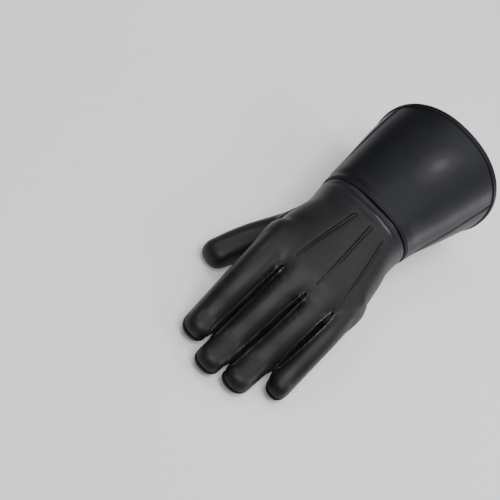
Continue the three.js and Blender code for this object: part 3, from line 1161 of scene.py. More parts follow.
    def relief(self, distance: Array, strip: Array) -> Array:
        """How far seams, points, folds and unevenness move each point of the skin.

        Args:
            distance: The distance to the nearest seam.
            strip: 1 where that seam is a strip's, else 0.

        Returns:
            The moves along the outward normal.
        """
        p = self.skin.points
        on_strip = np.zeros(len(p))
        for kind in STRIPS:
            on_strip[self.skin.faces[self.skin.kinds == kind.value].ravel()] = 1
        plain = 1 - on_strip
        move = -self.seam_depth * bump(distance, 0, self.seam_width)
        move += self.swell * (1 - strip) * plain * bump(distance, 1.55, 0.75)
        top = ramp(p[:, 2], 0.0, 3.0)
        lip = bump(distance, 0.9, 0.5) - 0.15 * bump(distance, 2.7, 0.8)
        begun = ramp(self.form.past_parting(p), 93.8, 96.2)
        move += strip * plain * begun * (self.lip_under + self.lip_over * top) * lip
        move -= on_strip * self.strip_inset * top * ramp(distance, 0.1, 0.9)
        ridge, strength = self.ridge(p)
        crest = np.clip(1 - (ridge / self.ridge_half) ** 2, 0, 1) ** 0.8
        rows = bump(ridge, self.row_offset, self.row_width)
        pull = bump(ridge, 0, 3.0)
        move += strength * (self.ridge_height * crest - self.row_depth * rows - 0.16 * pull)
        for fold in HAND_FOLDS:
            move += fold.press(p)
        clear = ramp(distance, 0.5, 4.0)
        uneven = undulation(p, self.unevenness, self.shortest_wave)
        move += uneven * (0.35 + 0.65 * clear)
        past = p[:, 1] - self.wrist_at(p)
        t = np.clip((past - 0.25) / 2.3, 0, 1)
        return move - self.lap * (1 - np.sqrt(1 - (1 - t) ** 2))

    def placed(self, p: Array) -> Array:
        """Carries flat points to the part's frame, the thumb with the palm's slope."""
        share = ramp(self.form.thumb_seam(p), 4.0, -4.0)[:, None]
        return REST.settle(REST.bend(p) * (1 - share) + REST.tilt(p) * share)

    def pieces(self) -> list[bpy.types.Object]:
        """Gives each piece its wall and writes it.

        Returns:
            The pieces' objects.
        """
        skin = self.skin
        normal = gradient(self.form.whole, skin.points)
        normal /= np.linalg.norm(normal, axis=1)[:, None]
        distance, strip = self.seam_distance()
        move = self.relief(distance, strip)
        outer = skin.points + normal * move[:, None]
        inner = skin.points - normal * np.maximum(self.wall, 0.5 - move)[:, None]
        press = self.form.pressed(outer) - outer
        outer, inner = outer + press, inner + press
        made = []
        for kind, node in HAND_NODES.items():
            faces = skin.faces[skin.kinds == kind.value]
            used, faces = np.unique(faces, return_inverse=True)
            faces = faces.reshape(-1, 3)
            own = self.drawn_in(outer[used], faces)
            points, wall = closed_wall(self.placed(own), self.placed(inner[used]), faces[:, ::-1])
            ridge = np.abs(self.ridge(skin.points[used])[0] - self.row_offset) * 1.6 + 0.1
            marks = {
                # The seam mark darkens the seams and stitch rows with painted shade. The relief mark
                # gives the highest crests a painted highlight.
                "seam": np.tile(np.minimum(np.minimum(distance[used], ridge), 8), 2),
                "relief": np.tile(move[used], 2),
                "inside": np.repeat([0.0, 1.0], len(used)),
            }
            piece = Piece(f"{node}_leather", points, wall, self.finish, "hand_leather", node, marks)
            made.append(piece.add())
        return made

    def drawn_in(self, p: Array, faces: Array) -> Array:
        """Draws a piece's edge in slightly, so that two sewn edges stand a hair apart.

        Args:
            p: The piece's outer points.
            faces: Its faces.

        Returns:
            The points with the edge drawn in.
        """
        pairs, sides = side_pairs(faces, len(p))
        edge = np.bincount(sides.ravel(), minlength=len(pairs)) == 1
        rim = np.unique(pairs[edge])
        on_rim = np.zeros(len(p), bool)
        on_rim[rim] = True
        total, count = np.zeros_like(p), np.zeros(len(p))
        for a, b in ((0, 1), (1, 0)):
            ends = pairs[on_rim[pairs[:, a]] & ~on_rim[pairs[:, b]]]
            np.add.at(total, ends[:, a], p[ends[:, b]] - p[ends[:, a]])
            np.add.at(count, ends[:, a], 1)
        inward = total / np.maximum(count, 1)[:, None]
        length = np.linalg.norm(inward, axis=1)
        inward[length > 0] /= length[length > 0][:, None]
        return p + inward * self.parting

    def stitch_rows(self) -> list[tuple[Array, Array]]:
        """Lays the two rows of stitches beside each point.

        Returns:
            For each row, its places and its upward directions, in the part's frame.
        """
        rows = []
        for start, end in self.points:
            a, b = np.array(start), np.array(end)
            run = (b - a) / np.linalg.norm(b - a)
            aside = np.array([-run[1], run[0]])
            for side in (-1, 1):
                t = np.linspace(0.5, np.linalg.norm(b - a) - 0.5, 60)
                offset = side * self.row_offset * (1 - self.narrowing * t / np.linalg.norm(b - a))
                flat = a + t[:, None] * run + offset[:, None] * aside
                p = np.column_stack([flat, np.full(len(t), 17.0)])
                for _ in range(8):
                    d = self.form.whole(p)
                    p[:, 2] -= np.clip(d, -2, 2)
                normal = gradient(self.form.whole, p)
                normal /= np.linalg.norm(normal, axis=1)[:, None]
                strength = 1 - self.fading * t / np.linalg.norm(b - a)
                base = p + normal * (0.1 - 0.54 * strength)[:, None]
                low, high = self.placed(base), self.placed(base + normal)
                rows.append((low, high - low))
        return rows


# The cuff


@dataclass
class CuffForm:
    """The flared cuff's own sections, from the wrist seam (0) to the rim (1)."""

    length: float = 98.0
    turn: float = 2.4
    roundness: float = 2.2
    rim_slant: float = 2.4
    rim_crown: float = 5.0
    wrist_slant: float = 3.0
    rim_height: float = 37.6
    seam_at_wrist: float = -2.0
    seam_at_rim: float = 17.0

    def point(self, share: Array, turn: Array, out: Array, beyond: Array) -> Array:
        """One place on the cuff, in millimetres from the wrist.

        Args:
            share: How far along the cuff, from 0 at the wrist to 1 at the rim.
            turn: The angle round the section, 0 at the little finger's side.
            out: How far outside the section.
            beyond: How much further along.

        Returns:
            The points, one row each.
        """
        left, right = CUFF.read("left", share), CUFF.read("right", share)
        c, s = np.cos(turn), np.sin(turn)
        x = np.sign(c) * np.abs(c) ** (2 / self.roundness)
        y = np.sign(s) * np.abs(s) ** (2 / self.roundness)
        edge = self.rim_slant * s + self.rim_crown * np.maximum(0, s) ** 1.5
        across = (left + right) / 2 + ((right - left) / 2 + out) * x
        start = (1 - share) * self.wrist_slant * np.maximum(0, x)
        along = start + share * (self.length + edge) + beyond
        up = (CUFF.read("half_height", share) + out) * y
        rise = math.asin((self.rim_height - REST.wrist_height) / self.length)
        frame_turn = Matrix.Rotation(math.radians(-self.turn), 3, "Z") @ Matrix.Rotation(rise, 3, "X")
        local = np.stack([across, along, up], axis=-1).reshape(-1, 3)
        return local @ np.array(frame_turn).T + np.array([0, 0, REST.wrist_height])

    def seam_turn(self, share: Array) -> Array:
        """The angle of the side seam at the little finger's side.

        Args:
            share: How far along the cuff, from 0 to 1.

        Returns:
            The angle at each place.
        """
        height = self.seam_at_wrist + (self.seam_at_rim - self.seam_at_wrist) * share
        y = height / CUFF.read("half_height", share)
        return np.arcsin(np.sign(y) * np.abs(y) ** (self.roundness / 2))

    def wrist_line(self) -> tuple[Array, Array]:
        """The cuff's edge at the wrist, on the hand's flat layout.

        Returns:
            Angles round the hand's section, and the place along the hand at each.
        """
        turn = np.linspace(-math.pi, math.pi, 181)[:-1]
        flat = REST.untilt(self.point(np.zeros_like(turn), turn, -0.8, 0.0))
        angle = np.arctan2(flat[:, 2], flat[:, 0] + 4.7)
        order = np.argsort(angle)
        return angle[order], flat[order, 1]


def spaced(length: float, fine: float, coarse: float, reach: float) -> Array:
    """Places from 0 to length, close together near both ends.

    Args:
        length: The whole run.
        fine: The spacing near the ends.
        coarse: The spacing in the middle.
        reach: How far the fine spacing reaches from each end.

    Returns:
        The places, from 0 to 1.
    """
    near = np.arange(0, reach, fine)
    middle = np.linspace(reach, length - reach, max(2, round((length - 2 * reach) / coarse)))
    return np.concatenate([near, middle, length - near[::-1]]) / length


@dataclass
class Cuff:
    """The two leather halves of the gauntlet cuff, sewn along its sides."""

    finish: bpy.types.Material
    form: CuffForm = field(default_factory=CuffForm)
    wall: float = 1.6
    parting: float = 0.12
    seam_depth: float = 1.0
    topstitch: float = 2.1  # from a seam to the row of stitches beside it
    unevenness: float = 0.2
    shortest_wave: float = 34.0
    stitch_sink: float = 0.2  # how deep the stitches lie in their groove

    def build(self) -> list[bpy.types.Object]:
        """Makes both halves.

        Returns:
            Their objects.
        """
        return [self.half("cuff_back", True), self.half("cuff_palm", False)]

    def grid(self, back: bool) -> tuple[Array, Array]:
        """Lays the places of one half.

        Args:
            back: True for the upper half.

        Returns:
            Each place's share and turn, as rows along the cuff and columns round it.
        """
        rows = spaced(self.form.length, 0.32, 1.05, 4.6)
        columns = spaced(150.0, 0.34, 1.0, 4.8)
        low = self.form.seam_turn(rows)
        high = math.pi - low
        first, last = (low, high) if back else (high, low + 2 * math.pi)
        turn = first[:, None] + (last - first)[:, None] * columns[None, :]
        return np.repeat(rows[:, None], len(columns), axis=1), turn

    def half(self, node: str, back: bool) -> bpy.types.Object:
        """Makes one half with its seams and its rolled wrist edge.

        Args:
            node: The solid that it stands for.
            back: True for the upper half.

        Returns:
            The half's object.
        """
        share, turn = self.grid(back)
        shape = share.shape
        flat = (share.ravel(), turn.ravel())
        base = self.form.point(*flat, np.zeros(share.size), 0.0).reshape(*shape, 3)
        normal = np.cross(np.gradient(base, axis=1), np.gradient(base, axis=0))
        normal /= np.linalg.norm(normal, axis=2)[..., None]
        if (normal[shape[0] // 2, shape[1] // 2, 2] > 0) != back:
            normal = -normal
        step = np.linalg.norm(np.diff(base, axis=1), axis=2)
        round_it = np.concatenate([np.zeros((shape[0], 1)), np.cumsum(step, axis=1)], axis=1)
        seam = np.minimum(round_it, round_it[:, -1:] - round_it)
        edge = share * self.form.length
        move = self.relief(base, seam, edge, back)
        outer = base + normal * move[..., None]
        outer += self.edge_pull(base)
        inner = base - normal * self.wall
        rows, columns = shape
        first = (np.arange(rows - 1)[:, None] * columns + np.arange(columns - 1)).ravel()
        quads = np.stack([first, first + 1, first + columns + 1, first + columns], axis=1)
        faces = np.concatenate([quads[:, [0, 1, 2]], quads[:, [0, 2, 3]]])
        a, b, c = (base.reshape(-1, 3)[faces[0, k]] for k in range(3))
        if np.cross(b - a, c - a) @ normal.reshape(-1, 3)[faces[0, 0]] < 0:
            faces = faces[:, ::-1]
        points, wall = closed_wall(
            REST.settle_rim(outer.reshape(-1, 3)), REST.settle_rim(inner.reshape(-1, 3)), faces
        )
        marks = {
            # The seam mark darkens the seams and the rows of stitches with painted shade.
            "seam": np.tile(self.near_seam(seam, edge, back).ravel(), 2),
            "relief": np.tile(move.ravel(), 2),
            "inside": np.repeat([0.0, 1.0], base.size // 3),
        }
        return Piece(f"{node}_leather", points, wall, self.finish, "cuff_leather", node, marks).add()

    def relief(self, base: Array, seam: Array, edge: Array, back: bool) -> Array:
        """How far seams, topstitching and unevenness move the leather out.

        Args:
            base: The places on the cuff's own section.
            seam: Their distances from the nearer side seam.
            edge: Their distances from the wrist edge.
            back: True for the upper half.

        Returns:
            The move of each place, in millimetres.
        """
        move = -self.seam_depth * bump(seam, 0, 0.6) + 0.22 * bump(seam, 1.3, 0.6)
        if not back:
            move -= 0.3 * bump(seam, self.topstitch, 0.36)
            move += 0.16 * bump(seam, self.topstitch + 1.0, 0.6)
        roll = np.clip(1 - edge / 1.1, 0, 1)
        move -= 1.0 * (1 - np.sqrt(1 - roll**2))
        move -= 0.4 * bump(edge, self.topstitch, 0.34)
        move += 0.1 * bump(edge, self.topstitch + 1.1, 0.7)
        move -= 0.45 * bump(edge, 8.0, 3.2) * ramp(base[..., 0], 30, -20)
        calm = ramp(edge, 1.0, 12.0) * (0.3 + 0.7 * ramp(edge, 97, 84))
        uneven = undulation(base.reshape(-1, 3), self.unevenness, self.shortest_wave)
        return move + uneven.reshape(edge.shape) * calm

    def near_seam(self, seam: Array, edge: Array, back: bool) -> Array:
        """The distance to the nearest seam or row of stitches, 8 at most.

        Args:
            seam: The distances from the nearer side seam.
            edge: The distances from the wrist edge.
            back: True for the upper half, which has no stitches beside its seams.

        Returns:
            The distance at each place.
        """
        near = np.minimum(seam, np.abs(edge - self.topstitch) * 1.5 + 0.15)
        if not back:
            near = np.minimum(near, np.abs(seam - self.topstitch) * 1.5 + 0.15)
        return np.minimum(np.minimum(near, edge), 8)

    def edge_pull(self, base: Array) -> Array:
        """Draws the side edges in slightly, so that the halves stand a hair apart.

        Args:
            base: The places, in columns round the cuff.

        Returns:
            The move of each place.
        """
        pull = np.zeros_like(base)
        pull[:, 0] = base[:, 1] - base[:, 0]
        pull[:, -1] = base[:, -2] - base[:, -1]
        length = np.linalg.norm(pull, axis=2)
        pull[length > 0] *= (self.parting / length[length > 0])[:, None]
        return pull

    def stitch_rows(self) -> list[tuple[Array, Array]]:
        """Lays the row of stitches round the wrist seam and the two beside the side seams.

        Returns:
            For each row, its places and its upward directions, in the part's frame.
        """
        turn = np.linspace(0, 2 * math.pi, 361)
        share = np.full_like(turn, self.topstitch / self.form.length)
        rows = [self.row(share, turn)]
        share = np.linspace(0.035, 0.955, 160)
        for side in (-1, 1):
            turn = self.form.seam_turn(share)
            place = self.form.point(share, turn, 0.0, 0.0)
            near = self.form.point(share, turn - 0.02, 0.0, 0.0)
            turn = turn - 0.02 * self.topstitch / np.linalg.norm(place - near, axis=1)
            rows.append(self.row(share, turn if side > 0 else math.pi - turn))
        return rows

    def row(self, share: Array, turn: Array) -> tuple[Array, Array]:
        """One row of stitches, sunk slightly in its groove.

        Args:
            share: How far along the cuff each place is.
            turn: The angle round it.

        Returns:
            The row's places and upward directions, in the part's frame.
        """
        low = REST.settle_rim(self.form.point(share, turn, -self.stitch_sink, 0.0))
        high = REST.settle_rim(self.form.point(share, turn, 1 - self.stitch_sink, 0.0))
        return low, high - low


@dataclass
class RimBinding:
    """The narrow strip that is folded over the rim's edge."""

    finish: bpy.types.Material
    form: CuffForm = field(default_factory=CuffForm)
    depth: float = 3.3
    gap: float = 0.2
    wall: float = 0.6
    leather: float = 1.6  # the cuff's own wall, which the strip wraps
    stations: int = 420
    stitch_inset: float = 1.5  # from the rim's edge to the row of stitches

    def outline(self) -> Array:
        """The strip's section: how far along and how far out, once round it.

        Returns:
            The corners of the section, one row each.
        """
        foot, out = -self.depth, self.gap + self.wall
        low, inside = -self.leather - self.gap, -self.leather - self.gap - self.wall
        turns = np.radians(np.linspace(90, -90, 15))
        middle, half, over = (out + inside) / 2, (out - inside) / 2, self.gap + self.wall
        fold = [(over - 0.9 + 0.9 * math.cos(t), middle + half * math.sin(t)) for t in turns]
        return np.array(
            [
                (foot, 0.12),
                (foot - 0.04, 0.3),
                (foot + 0.08, out - 0.3),
                (foot + 0.35, out - 0.1),
                (foot + 0.9, out),
                (foot + 1.5, out - 0.1),
                (foot + 2.2, out),
                *fold,
                (foot + 1.4, inside),
                (foot + 0.4, inside - 0.02),
                (foot, inside + 0.2),
                (foot - 0.02, low - 0.2),
                (foot + 0.05, low),
                (foot + 1.2, low),
                (0.0, low),
                (self.gap, low + 0.25),
                (self.gap, self.gap - 0.25),
                (0.0, self.gap),
                (foot + 1.2, self.gap),
            ]
        )

    def build(self) -> list[bpy.types.Object]:
        """Sweeps the strip's section round the rim.

        Returns:
            The binding's object.
        """
        outline = self.outline()
        turn = np.linspace(0, 2 * math.pi, self.stations, endpoint=False)
        count = len(outline)
        along = np.tile(outline[:, 0], self.stations)
        out = np.tile(outline[:, 1], self.stations)
        turns = np.repeat(turn, count)
        pucker = 0.05 * np.sin(turns * 118) * bump(along, -self.depth + 0.9, 0.8)
        share = 1 + np.minimum(along, 0) / self.form.length
        p = self.form.point(share, turns, out + pucker * (out > 0), np.maximum(along, 0))
        station, spot = np.meshgrid(np.arange(self.stations), np.arange(count), indexing="ij")
        after, beside = (station + 1) % self.stations, (spot + 1) % count
        corners = [station * count + spot, after * count + spot]
        corners += [after * count + beside, station * count + beside]
        faces = np.stack([c.ravel() for c in corners], axis=1)
        fold_top = int(np.argmax(outline[:, 0]))
        face = faces[fold_top]
        across = np.cross(p[face[1]] - p[face[0]], p[face[3]] - p[face[0]])
        if across[1] < 0:
            faces = faces[:, ::-1]
        marks = {
            # The seam mark puts painted shade along the strip's foot.
            "seam": np.minimum(np.abs(along + self.depth), 8),
            # The relief mark lays the lighter worn colour and a painted highlight along the strip's
            # fold.
            "relief": 0.5 * bump(along, 0.9, 0.8),
            "inside": np.zeros(len(p)),
        }
        node = "rim_binding"
        p = REST.settle_rim(p)
        return [Piece(f"{node}_strip", p, faces, self.finish, "cuff_leather", node, marks).add()]

    def stitch_rows(self) -> list[tuple[Array, Array]]:
        """Lays the row of stitches along the strip's outer edge.

        Returns:
            The row's places and its upward directions, in the part's frame.
        """
        turn = np.linspace(0, 2 * math.pi, 481)
        share = np.full_like(turn, 1 - self.stitch_inset / self.form.length)
        low = REST.settle_rim(self.form.point(share, turn, self.gap + self.wall, 0.0))
        high = REST.settle_rim(self.form.point(share, turn, self.gap + self.wall + 1, 0.0))
        return [(low, high - low)]


# Stitches


@dataclass(frozen=True)
class Thread:
    """The size of one kind of stitch, in millimetres."""

    pitch: float
    length: float
    width: float
    height: float


class StitchTree:
    """A node tree that lays a short stitch at each step along some lines."""

    INPUTS = (("Pitch", "NodeSocketFloat"), ("Stitch Size", "NodeSocketVector"))

    def __init__(self) -> None:
        """Builds the tree with its named inputs."""
        self.tree = bpy.data.node_groups.new("stitch_rows", "GeometryNodeTree")
        face = self.tree.interface
        face.new_socket("Geometry", in_out="INPUT", socket_type="NodeSocketGeometry")
        self.sockets = {
            name: face.new_socket(name, in_out="INPUT", socket_type=kind).identifier
            for name, kind in (*self.INPUTS, ("Finish", "NodeSocketMaterial"))
        }
        face.new_socket("Geometry", in_out="OUTPUT", socket_type="NodeSocketGeometry")
        self.wire()

    def add(self, kind: str, settings: dict[str, Any], inputs: dict[str, Any]) -> bpy.types.Node:
        """Makes one node.

        Args:
            kind: The node's type.
            settings: Its own settings, set before its sockets.
            inputs: Values, or sockets to link from, by socket name.

        Returns:
            The node.
        """
        node = self.tree.nodes.new(kind)
        for name, value in settings.items():
            setattr(node, name, value)
        for name, value in inputs.items():
            if isinstance(value, bpy.types.NodeSocket):
                self.tree.links.new(value, node.inputs[name])
            else:
                node.inputs[name].default_value = value
        return node

    def wire(self) -> None:
        """Lays the nodes: lines, steps along them, a turned stitch at each, and its finish."""
        given = self.add("NodeGroupInput", {}, {}).outputs
        lines = self.add("GeometryNodeMeshToCurve", {}, {"Mesh": given["Geometry"]})
        steps = self.add(
            "GeometryNodeCurveToPoints",
            {"mode": "LENGTH"},
            {"Curve": lines.outputs["Curve"], "Length": given["Pitch"]},
        )
        up = self.add("GeometryNodeInputNamedAttribute", {"data_type": "FLOAT_VECTOR"}, {"Name": "up"})
        turned = self.add(
            "FunctionNodeAxesToRotation",
            {"primary_axis": "X", "secondary_axis": "Z"},
            {"Primary Axis": steps.outputs["Tangent"], "Secondary Axis": up.outputs["Attribute"]},
        )
        ball = self.add("GeometryNodeMeshUVSphere", {}, {"Segments": 8, "Rings": 5, "Radius": 0.5})
        stitch = self.add(
            "GeometryNodeTransform",
            {},
            {"Geometry": ball.outputs["Mesh"], "Scale": given["Stitch Size"]},
        )
        laid = self.add(
            "GeometryNodeInstanceOnPoints",
            {},
            {
                "Points": steps.outputs["Points"],
                "Instance": stitch.outputs["Geometry"],
                "Rotation": turned.outputs["Rotation"],
            },
        )
        real = self.add("GeometryNodeRealizeInstances", {}, {"Geometry": laid.outputs["Instances"]})
        dressed = self.add(
            "GeometryNodeSetMaterial",
            {},
            {"Geometry": real.outputs["Geometry"], "Material": given["Finish"]},
        )
        self.add("NodeGroupOutput", {}, {"Geometry": dressed.outputs["Geometry"]})

    def sew(
        self,
        name: str,
        rows: list[tuple[Array, Array]],
        thread: Thread,
        finish: bpy.types.Material,
    ) -> bpy.types.Object:
        """Lays stitches along some rows and turns them into one plain mesh.

        Args:
            name: The piece's name.
            rows: Each row's places and upward directions, in millimetres.
            thread: The stitch's size.
            finish: The thread's material.

        Returns:
            The stitches' object.
        """
        places = np.vstack([row[0] for row in rows]) * METRE
        ups = np.vstack([row[1] for row in rows])
        edges, first = [], 0
        for row, _ in rows:
            edges += [(first + k, first + k + 1) for k in range(len(row) - 1)]
            first += len(row)
        guide = bpy.data.meshes.new(f"{name}_lines")
        guide.from_pydata(places.tolist(), edges, [])
        layer = guide.attributes.new("up", "FLOAT_VECTOR", "POINT")
        layer.data.foreach_set("vector", ups.astype(np.float32).ravel())
        holder = bpy.data.objects.new(f"{name}_lines", guide)
        bpy.context.scene.collection.objects.link(holder)
        modifier = holder.modifiers.new("stitches", "NODES")
        modifier.node_group = self.tree
        modifier[self.sockets["Pitch"]] = thread.pitch * METRE
        size = [thread.length * METRE, thread.width * METRE, thread.height * METRE]
        modifier[self.sockets["Stitch Size"]] = size
        modifier[self.sockets["Finish"]] = finish
        ready = holder.evaluated_get(bpy.context.evaluated_depsgraph_get())
        mesh = bpy.data.meshes.new_from_object(ready)
        mesh.name = name
        holder.modifiers.remove(modifier)
        bpy.data.objects.remove(holder)
        mesh.polygons.foreach_set("use_smooth", np.ones(len(mesh.polygons), bool))
        mesh.update()
        made = bpy.data.objects.new(name, mesh)
        bpy.context.scene.collection.objects.link(made)
        tie(made, None)
        return made


# Finishes


class Wire:
    """A shader socket that takes part in Python sums."""

    def __init__(self, sheet: "NodeSheet", socket: bpy.types.NodeSocket) -> None:
        """Keeps the socket and the sheet that it is on."""
        self.sheet = sheet
        self.socket = socket

    def maths(self, operation: str, *values: "Wire | float") -> "Wire":
        """Adds one Math node on some values."""
        return self.sheet.add("ShaderNodeMath", {"operation": operation}, dict(enumerate(values)))

    def __add__(self, other: "Wire | float") -> "Wire":
        """This value and another, added."""
        return self.maths("ADD", self, other)

    def __mul__(self, other: "Wire | float") -> "Wire":
        """This value times another."""
        return self.maths("MULTIPLY", self, other)

    def __sub__(self, other: "Wire | float") -> "Wire":
        """This value less another."""
        return self.maths("SUBTRACT", self, other)

    def __rsub__(self, other: float) -> "Wire":
        """Another value less this one."""
        return self.maths("SUBTRACT", other, self)

    __radd__ = __add__
    __rmul__ = __mul__

    def ramp(self, low: float, high: float) -> "Wire":
        """Rises smoothly from 0 at low to 1 at high.

        Args:
            low: Where the rise starts.
            high: Where it ends.

        Returns:
            The risen value.
        """
        return self.sheet.add(
            "ShaderNodeMapRange",
            {"interpolation_type": "SMOOTHSTEP"},
            {0: self, 1: low, 2: high, 3: 0.0, 4: 1.0},
        )


class NodeSheet:
    """The node tree of one material."""

    def __init__(self, name: str) -> None:
        """Makes an empty material.

        Args:
            name: The material's name.
        """
        self.material = bpy.data.materials.new(name)
        self.material.use_nodes = True
        self.tree = self.material.node_tree
        self.tree.nodes.clear()

    def add(self, kind: str, settings: dict[str, Any], inputs: dict[Any, Any], output: int = 0) -> Wire:
        """Makes one node.

        Args:
            kind: The node's type.
            settings: Its own settings, set before its sockets.
            inputs: Values or wires, by socket name or number.
            output: The number of the output to use.

        Returns:
            That output.
        """
        node = self.tree.nodes.new(kind)
        for name, value in settings.items():
            setattr(node, name, value)
        for name, value in inputs.items():
            if isinstance(value, Wire):
                self.tree.links.new(value.socket, node.inputs[name])
            else:
                node.inputs[name].default_value = value
        return Wire(self, node.outputs[output] if len(node.outputs) else node.inputs[0])

    def place(self) -> Wire:
        """The place on the piece, in metres."""
        return self.add("ShaderNodeTexCoord", {}, {}, 3)

    def mark(self, name: str) -> Wire:
        """A value kept on the piece's points."""
        return self.add("ShaderNodeAttribute", {"attribute_name": name}, {}, 2)

    def noise(self, place: Wire, scale: float, detail: float = 2.0, rough: float = 0.5) -> Wire:
        """Soft noise with so many patches to a metre."""
        inputs = {"Vector": place, "Scale": scale, "Detail": detail, "Roughness": rough}
        return self.add("ShaderNodeTexNoise", {}, inputs)

    def mix(self, share: Wire, low: Any, high: Any) -> Wire:
        """A colour between two others."""
        return self.add("ShaderNodeMix", {"data_type": "RGBA"}, {0: share, 6: low, 7: high}, 2)

    def finish(self, surface: dict[str, Any]) -> bpy.types.Material:
        """Adds the surface and the output.

        Args:
            surface: The surface's sockets.

        Returns:
            The finished material.
        """
        shaded = self.add("ShaderNodeBsdfPrincipled", {}, surface)
        self.add("ShaderNodeOutputMaterial", {}, {"Surface": shaded})
        return self.material


def shade(red: float, green: float, blue: float) -> tuple[float, float, float, float]:
    """A plain colour with full alpha."""
    return (red, green, blue, 1.0)


WORN_EDGE = shade(0.045, 0.042, 0.043)
# A painted highlight: the pale colour laid on the highest crests, that is the slits' lips, the wrist
# folds and the binding's fold, where they catch the light.
PAINTED_CREST_HIGHLIGHT = shade(0.25, 0.24, 0.25)
# Painted shade: the near-black laid in the seams' grooves and along the binding's foot. It also darkens
# the rows of stitches into a dark line.
PAINTED_SEAM_SHADE = shade(0.004, 0.004, 0.005)


@dataclass(frozen=True)
class LeatherFinish:
    """Black leather: its colours, its gloss and its grain, from smooth side to flesh side."""

    name: str
    deep: tuple[float, float, float, float]
    light: tuple[float, float, float, float]
    cool: tuple[float, float, float, float]
    flesh: tuple[float, float, float, float]
    roughness: float
    specular: float
    gloss: tuple[float, float, float, float]
    coat: float
    coat_roughness: float
    pebble: float  # grains to a metre
    grain_depth: float  # metres
    crease: float  # the height of its fine creases, in grains
    cool_from: float  # where the cool cast starts and is full, along the glove, in metres
    cool_to: float

    def build(self) -> bpy.types.Material:
        """Builds the leather's nodes.

        Returns:
            The material.
        """
        sheet = NodeSheet(self.name)
        place = sheet.place()
        seam, relief, inside = sheet.mark("seam"), sheet.mark("relief"), sheet.mark("inside")
        mottle = sheet.noise(place, 60.0, 5.0, 0.65)
        crease = sheet.noise(place, 430.0, 4.0, 0.62)
        patch = sheet.noise(place, 16.0, 2.0, 0.5)
        fine = sheet.noise(place, self.pebble * 2.2, 3.0, 0.6)
        warp = sheet.add("ShaderNodeTexNoise", {}, {"Vector": place, "Scale": self.pebble * 0.5}, 1)
        bent = sheet.add(
            "ShaderNodeVectorMath",
            {"operation": "MULTIPLY_ADD"},
            {0: warp, 1: (0.0006, 0.0006, 0.0006), 2: place},
        )
        pebble = sheet.add(
            "ShaderNodeTexVoronoi",
            {"feature": "SMOOTH_F1"},
            {"Vector": bent, "Scale": self.pebble, "Smoothness": 0.35},
        )
        along = sheet.add("ShaderNodeSeparateXYZ", {}, {"Vector": place}, 1)
        cool = along.ramp(self.cool_from, self.cool_to)
        # Near the seams and the rows of stitches, the leather is rougher and is darkened with painted
        # shade.
        groove = 1 - seam.ramp(0.05, 0.9)
        # Raised relief is lighter worn leather. The highest crests are also glossier, and their colour
        # gets a painted highlight.
        worn, polish_and_painted_highlight = relief.ramp(0.2, 0.5), relief.ramp(0.38, 0.58)
        colour = sheet.mix(mottle.ramp(0.3, 0.75), self.deep, self.light)
        colour = sheet.mix(cool * 0.85, colour, self.cool)
        colour = sheet.mix(worn * 0.7, colour, WORN_EDGE)
        # Painted highlight on the highest crests.
        colour = sheet.mix(polish_and_painted_highlight * 0.85, colour, PAINTED_CREST_HIGHLIGHT)
        # Painted shade in the seams' grooves and along the rows of stitches.
        colour = sheet.mix(groove * 0.75, colour, PAINTED_SEAM_SHADE)
        colour = sheet.mix(inside, colour, self.flesh)
        rough = self.roughness + (mottle - 0.5) * 0.16 + (patch - 0.5) * 0.14
        rough = rough + groove * 0.22 - worn * 0.06 + (pebble - 0.4) * 0.08
        rough = rough + inside * 0.4 - polish_and_painted_highlight * 0.14
        height = 1 - pebble.ramp(0.0, 0.75) + fine * 0.45
        height = height * (1 + inside * 0.8) + crease * self.crease
        grain = sheet.add(
            "ShaderNodeBump",
            {},
            {"Strength": 1.0, "Distance": self.grain_depth, "Height": height},
        )
        return sheet.finish(
            {
                "Base Color": colour,
                "Roughness": rough,
                "Specular IOR Level": self.specular,
                "Specular Tint": self.gloss,
                "Coat Weight": (1 - inside) * (self.coat + polish_and_painted_highlight * 0.4),
                "Coat Roughness": self.coat_roughness,
                "Normal": grain,
            }
        )


@dataclass(frozen=True)
class ThreadFinish:
    """Waxed thread with a fine twist."""

    name: str
    colour: tuple[float, float, float, float]
    light: tuple[float, float, float, float]

    def build(self) -> bpy.types.Material:
        """Builds the thread's nodes.

        Returns:
            The material.
        """
        sheet = NodeSheet(self.name)
        place = sheet.place()
        twist = sheet.noise(place, 5200.0, 1.0)
        fibre = sheet.noise(place, 300.0, 2.0)
        colour = sheet.mix(twist * 0.6 + fibre * 0.4, self.colour, self.light)
        ply = sheet.add("ShaderNodeBump", {}, {"Strength": 0.6, "Distance": 0.00006, "Height": twist})
        return sheet.finish(
            {
                "Base Color": colour,
                "Roughness": 0.6 + twist * 0.2,
                "Specular IOR Level": 0.2,
                "Normal": ply,
            }
        )


HAND_LEATHER = LeatherFinish(
    name="hand_leather_finish",
    deep=shade(0.0092, 0.0079, 0.0085),
    light=shade(0.0160, 0.0138, 0.0146),
    cool=shade(0.0095, 0.0122, 0.0200),
    flesh=shade(0.022, 0.020, 0.019),
    roughness=0.46,
    specular=0.27,
    gloss=shade(1.0, 0.95, 0.955),
    coat=0.06,
    coat_roughness=0.3,
    pebble=1500.0,
    grain_depth=0.00003,
    crease=3.2,
    cool_from=-0.005,
    cool_to=0.040,
)
CUFF_LEATHER = LeatherFinish(
    name="cuff_leather_finish",
    deep=shade(0.0026, 0.0028, 0.0046),
    light=shade(0.0048, 0.0050, 0.0076),
    cool=shade(0.0030, 0.0032, 0.0055),
    flesh=shade(0.022, 0.020, 0.019),
    roughness=0.46,
    specular=0.27,
    gloss=shade(0.86, 0.88, 1.0),
    coat=0.08,
    coat_roughness=0.28,
    pebble=1300.0,
    grain_depth=0.000022,
    crease=3.4,
    cool_from=0.02,
    cool_to=0.12,
)
BLACK_THREAD = ThreadFinish("black_thread", shade(0.0015, 0.0015, 0.002), shade(0.008, 0.008, 0.009))
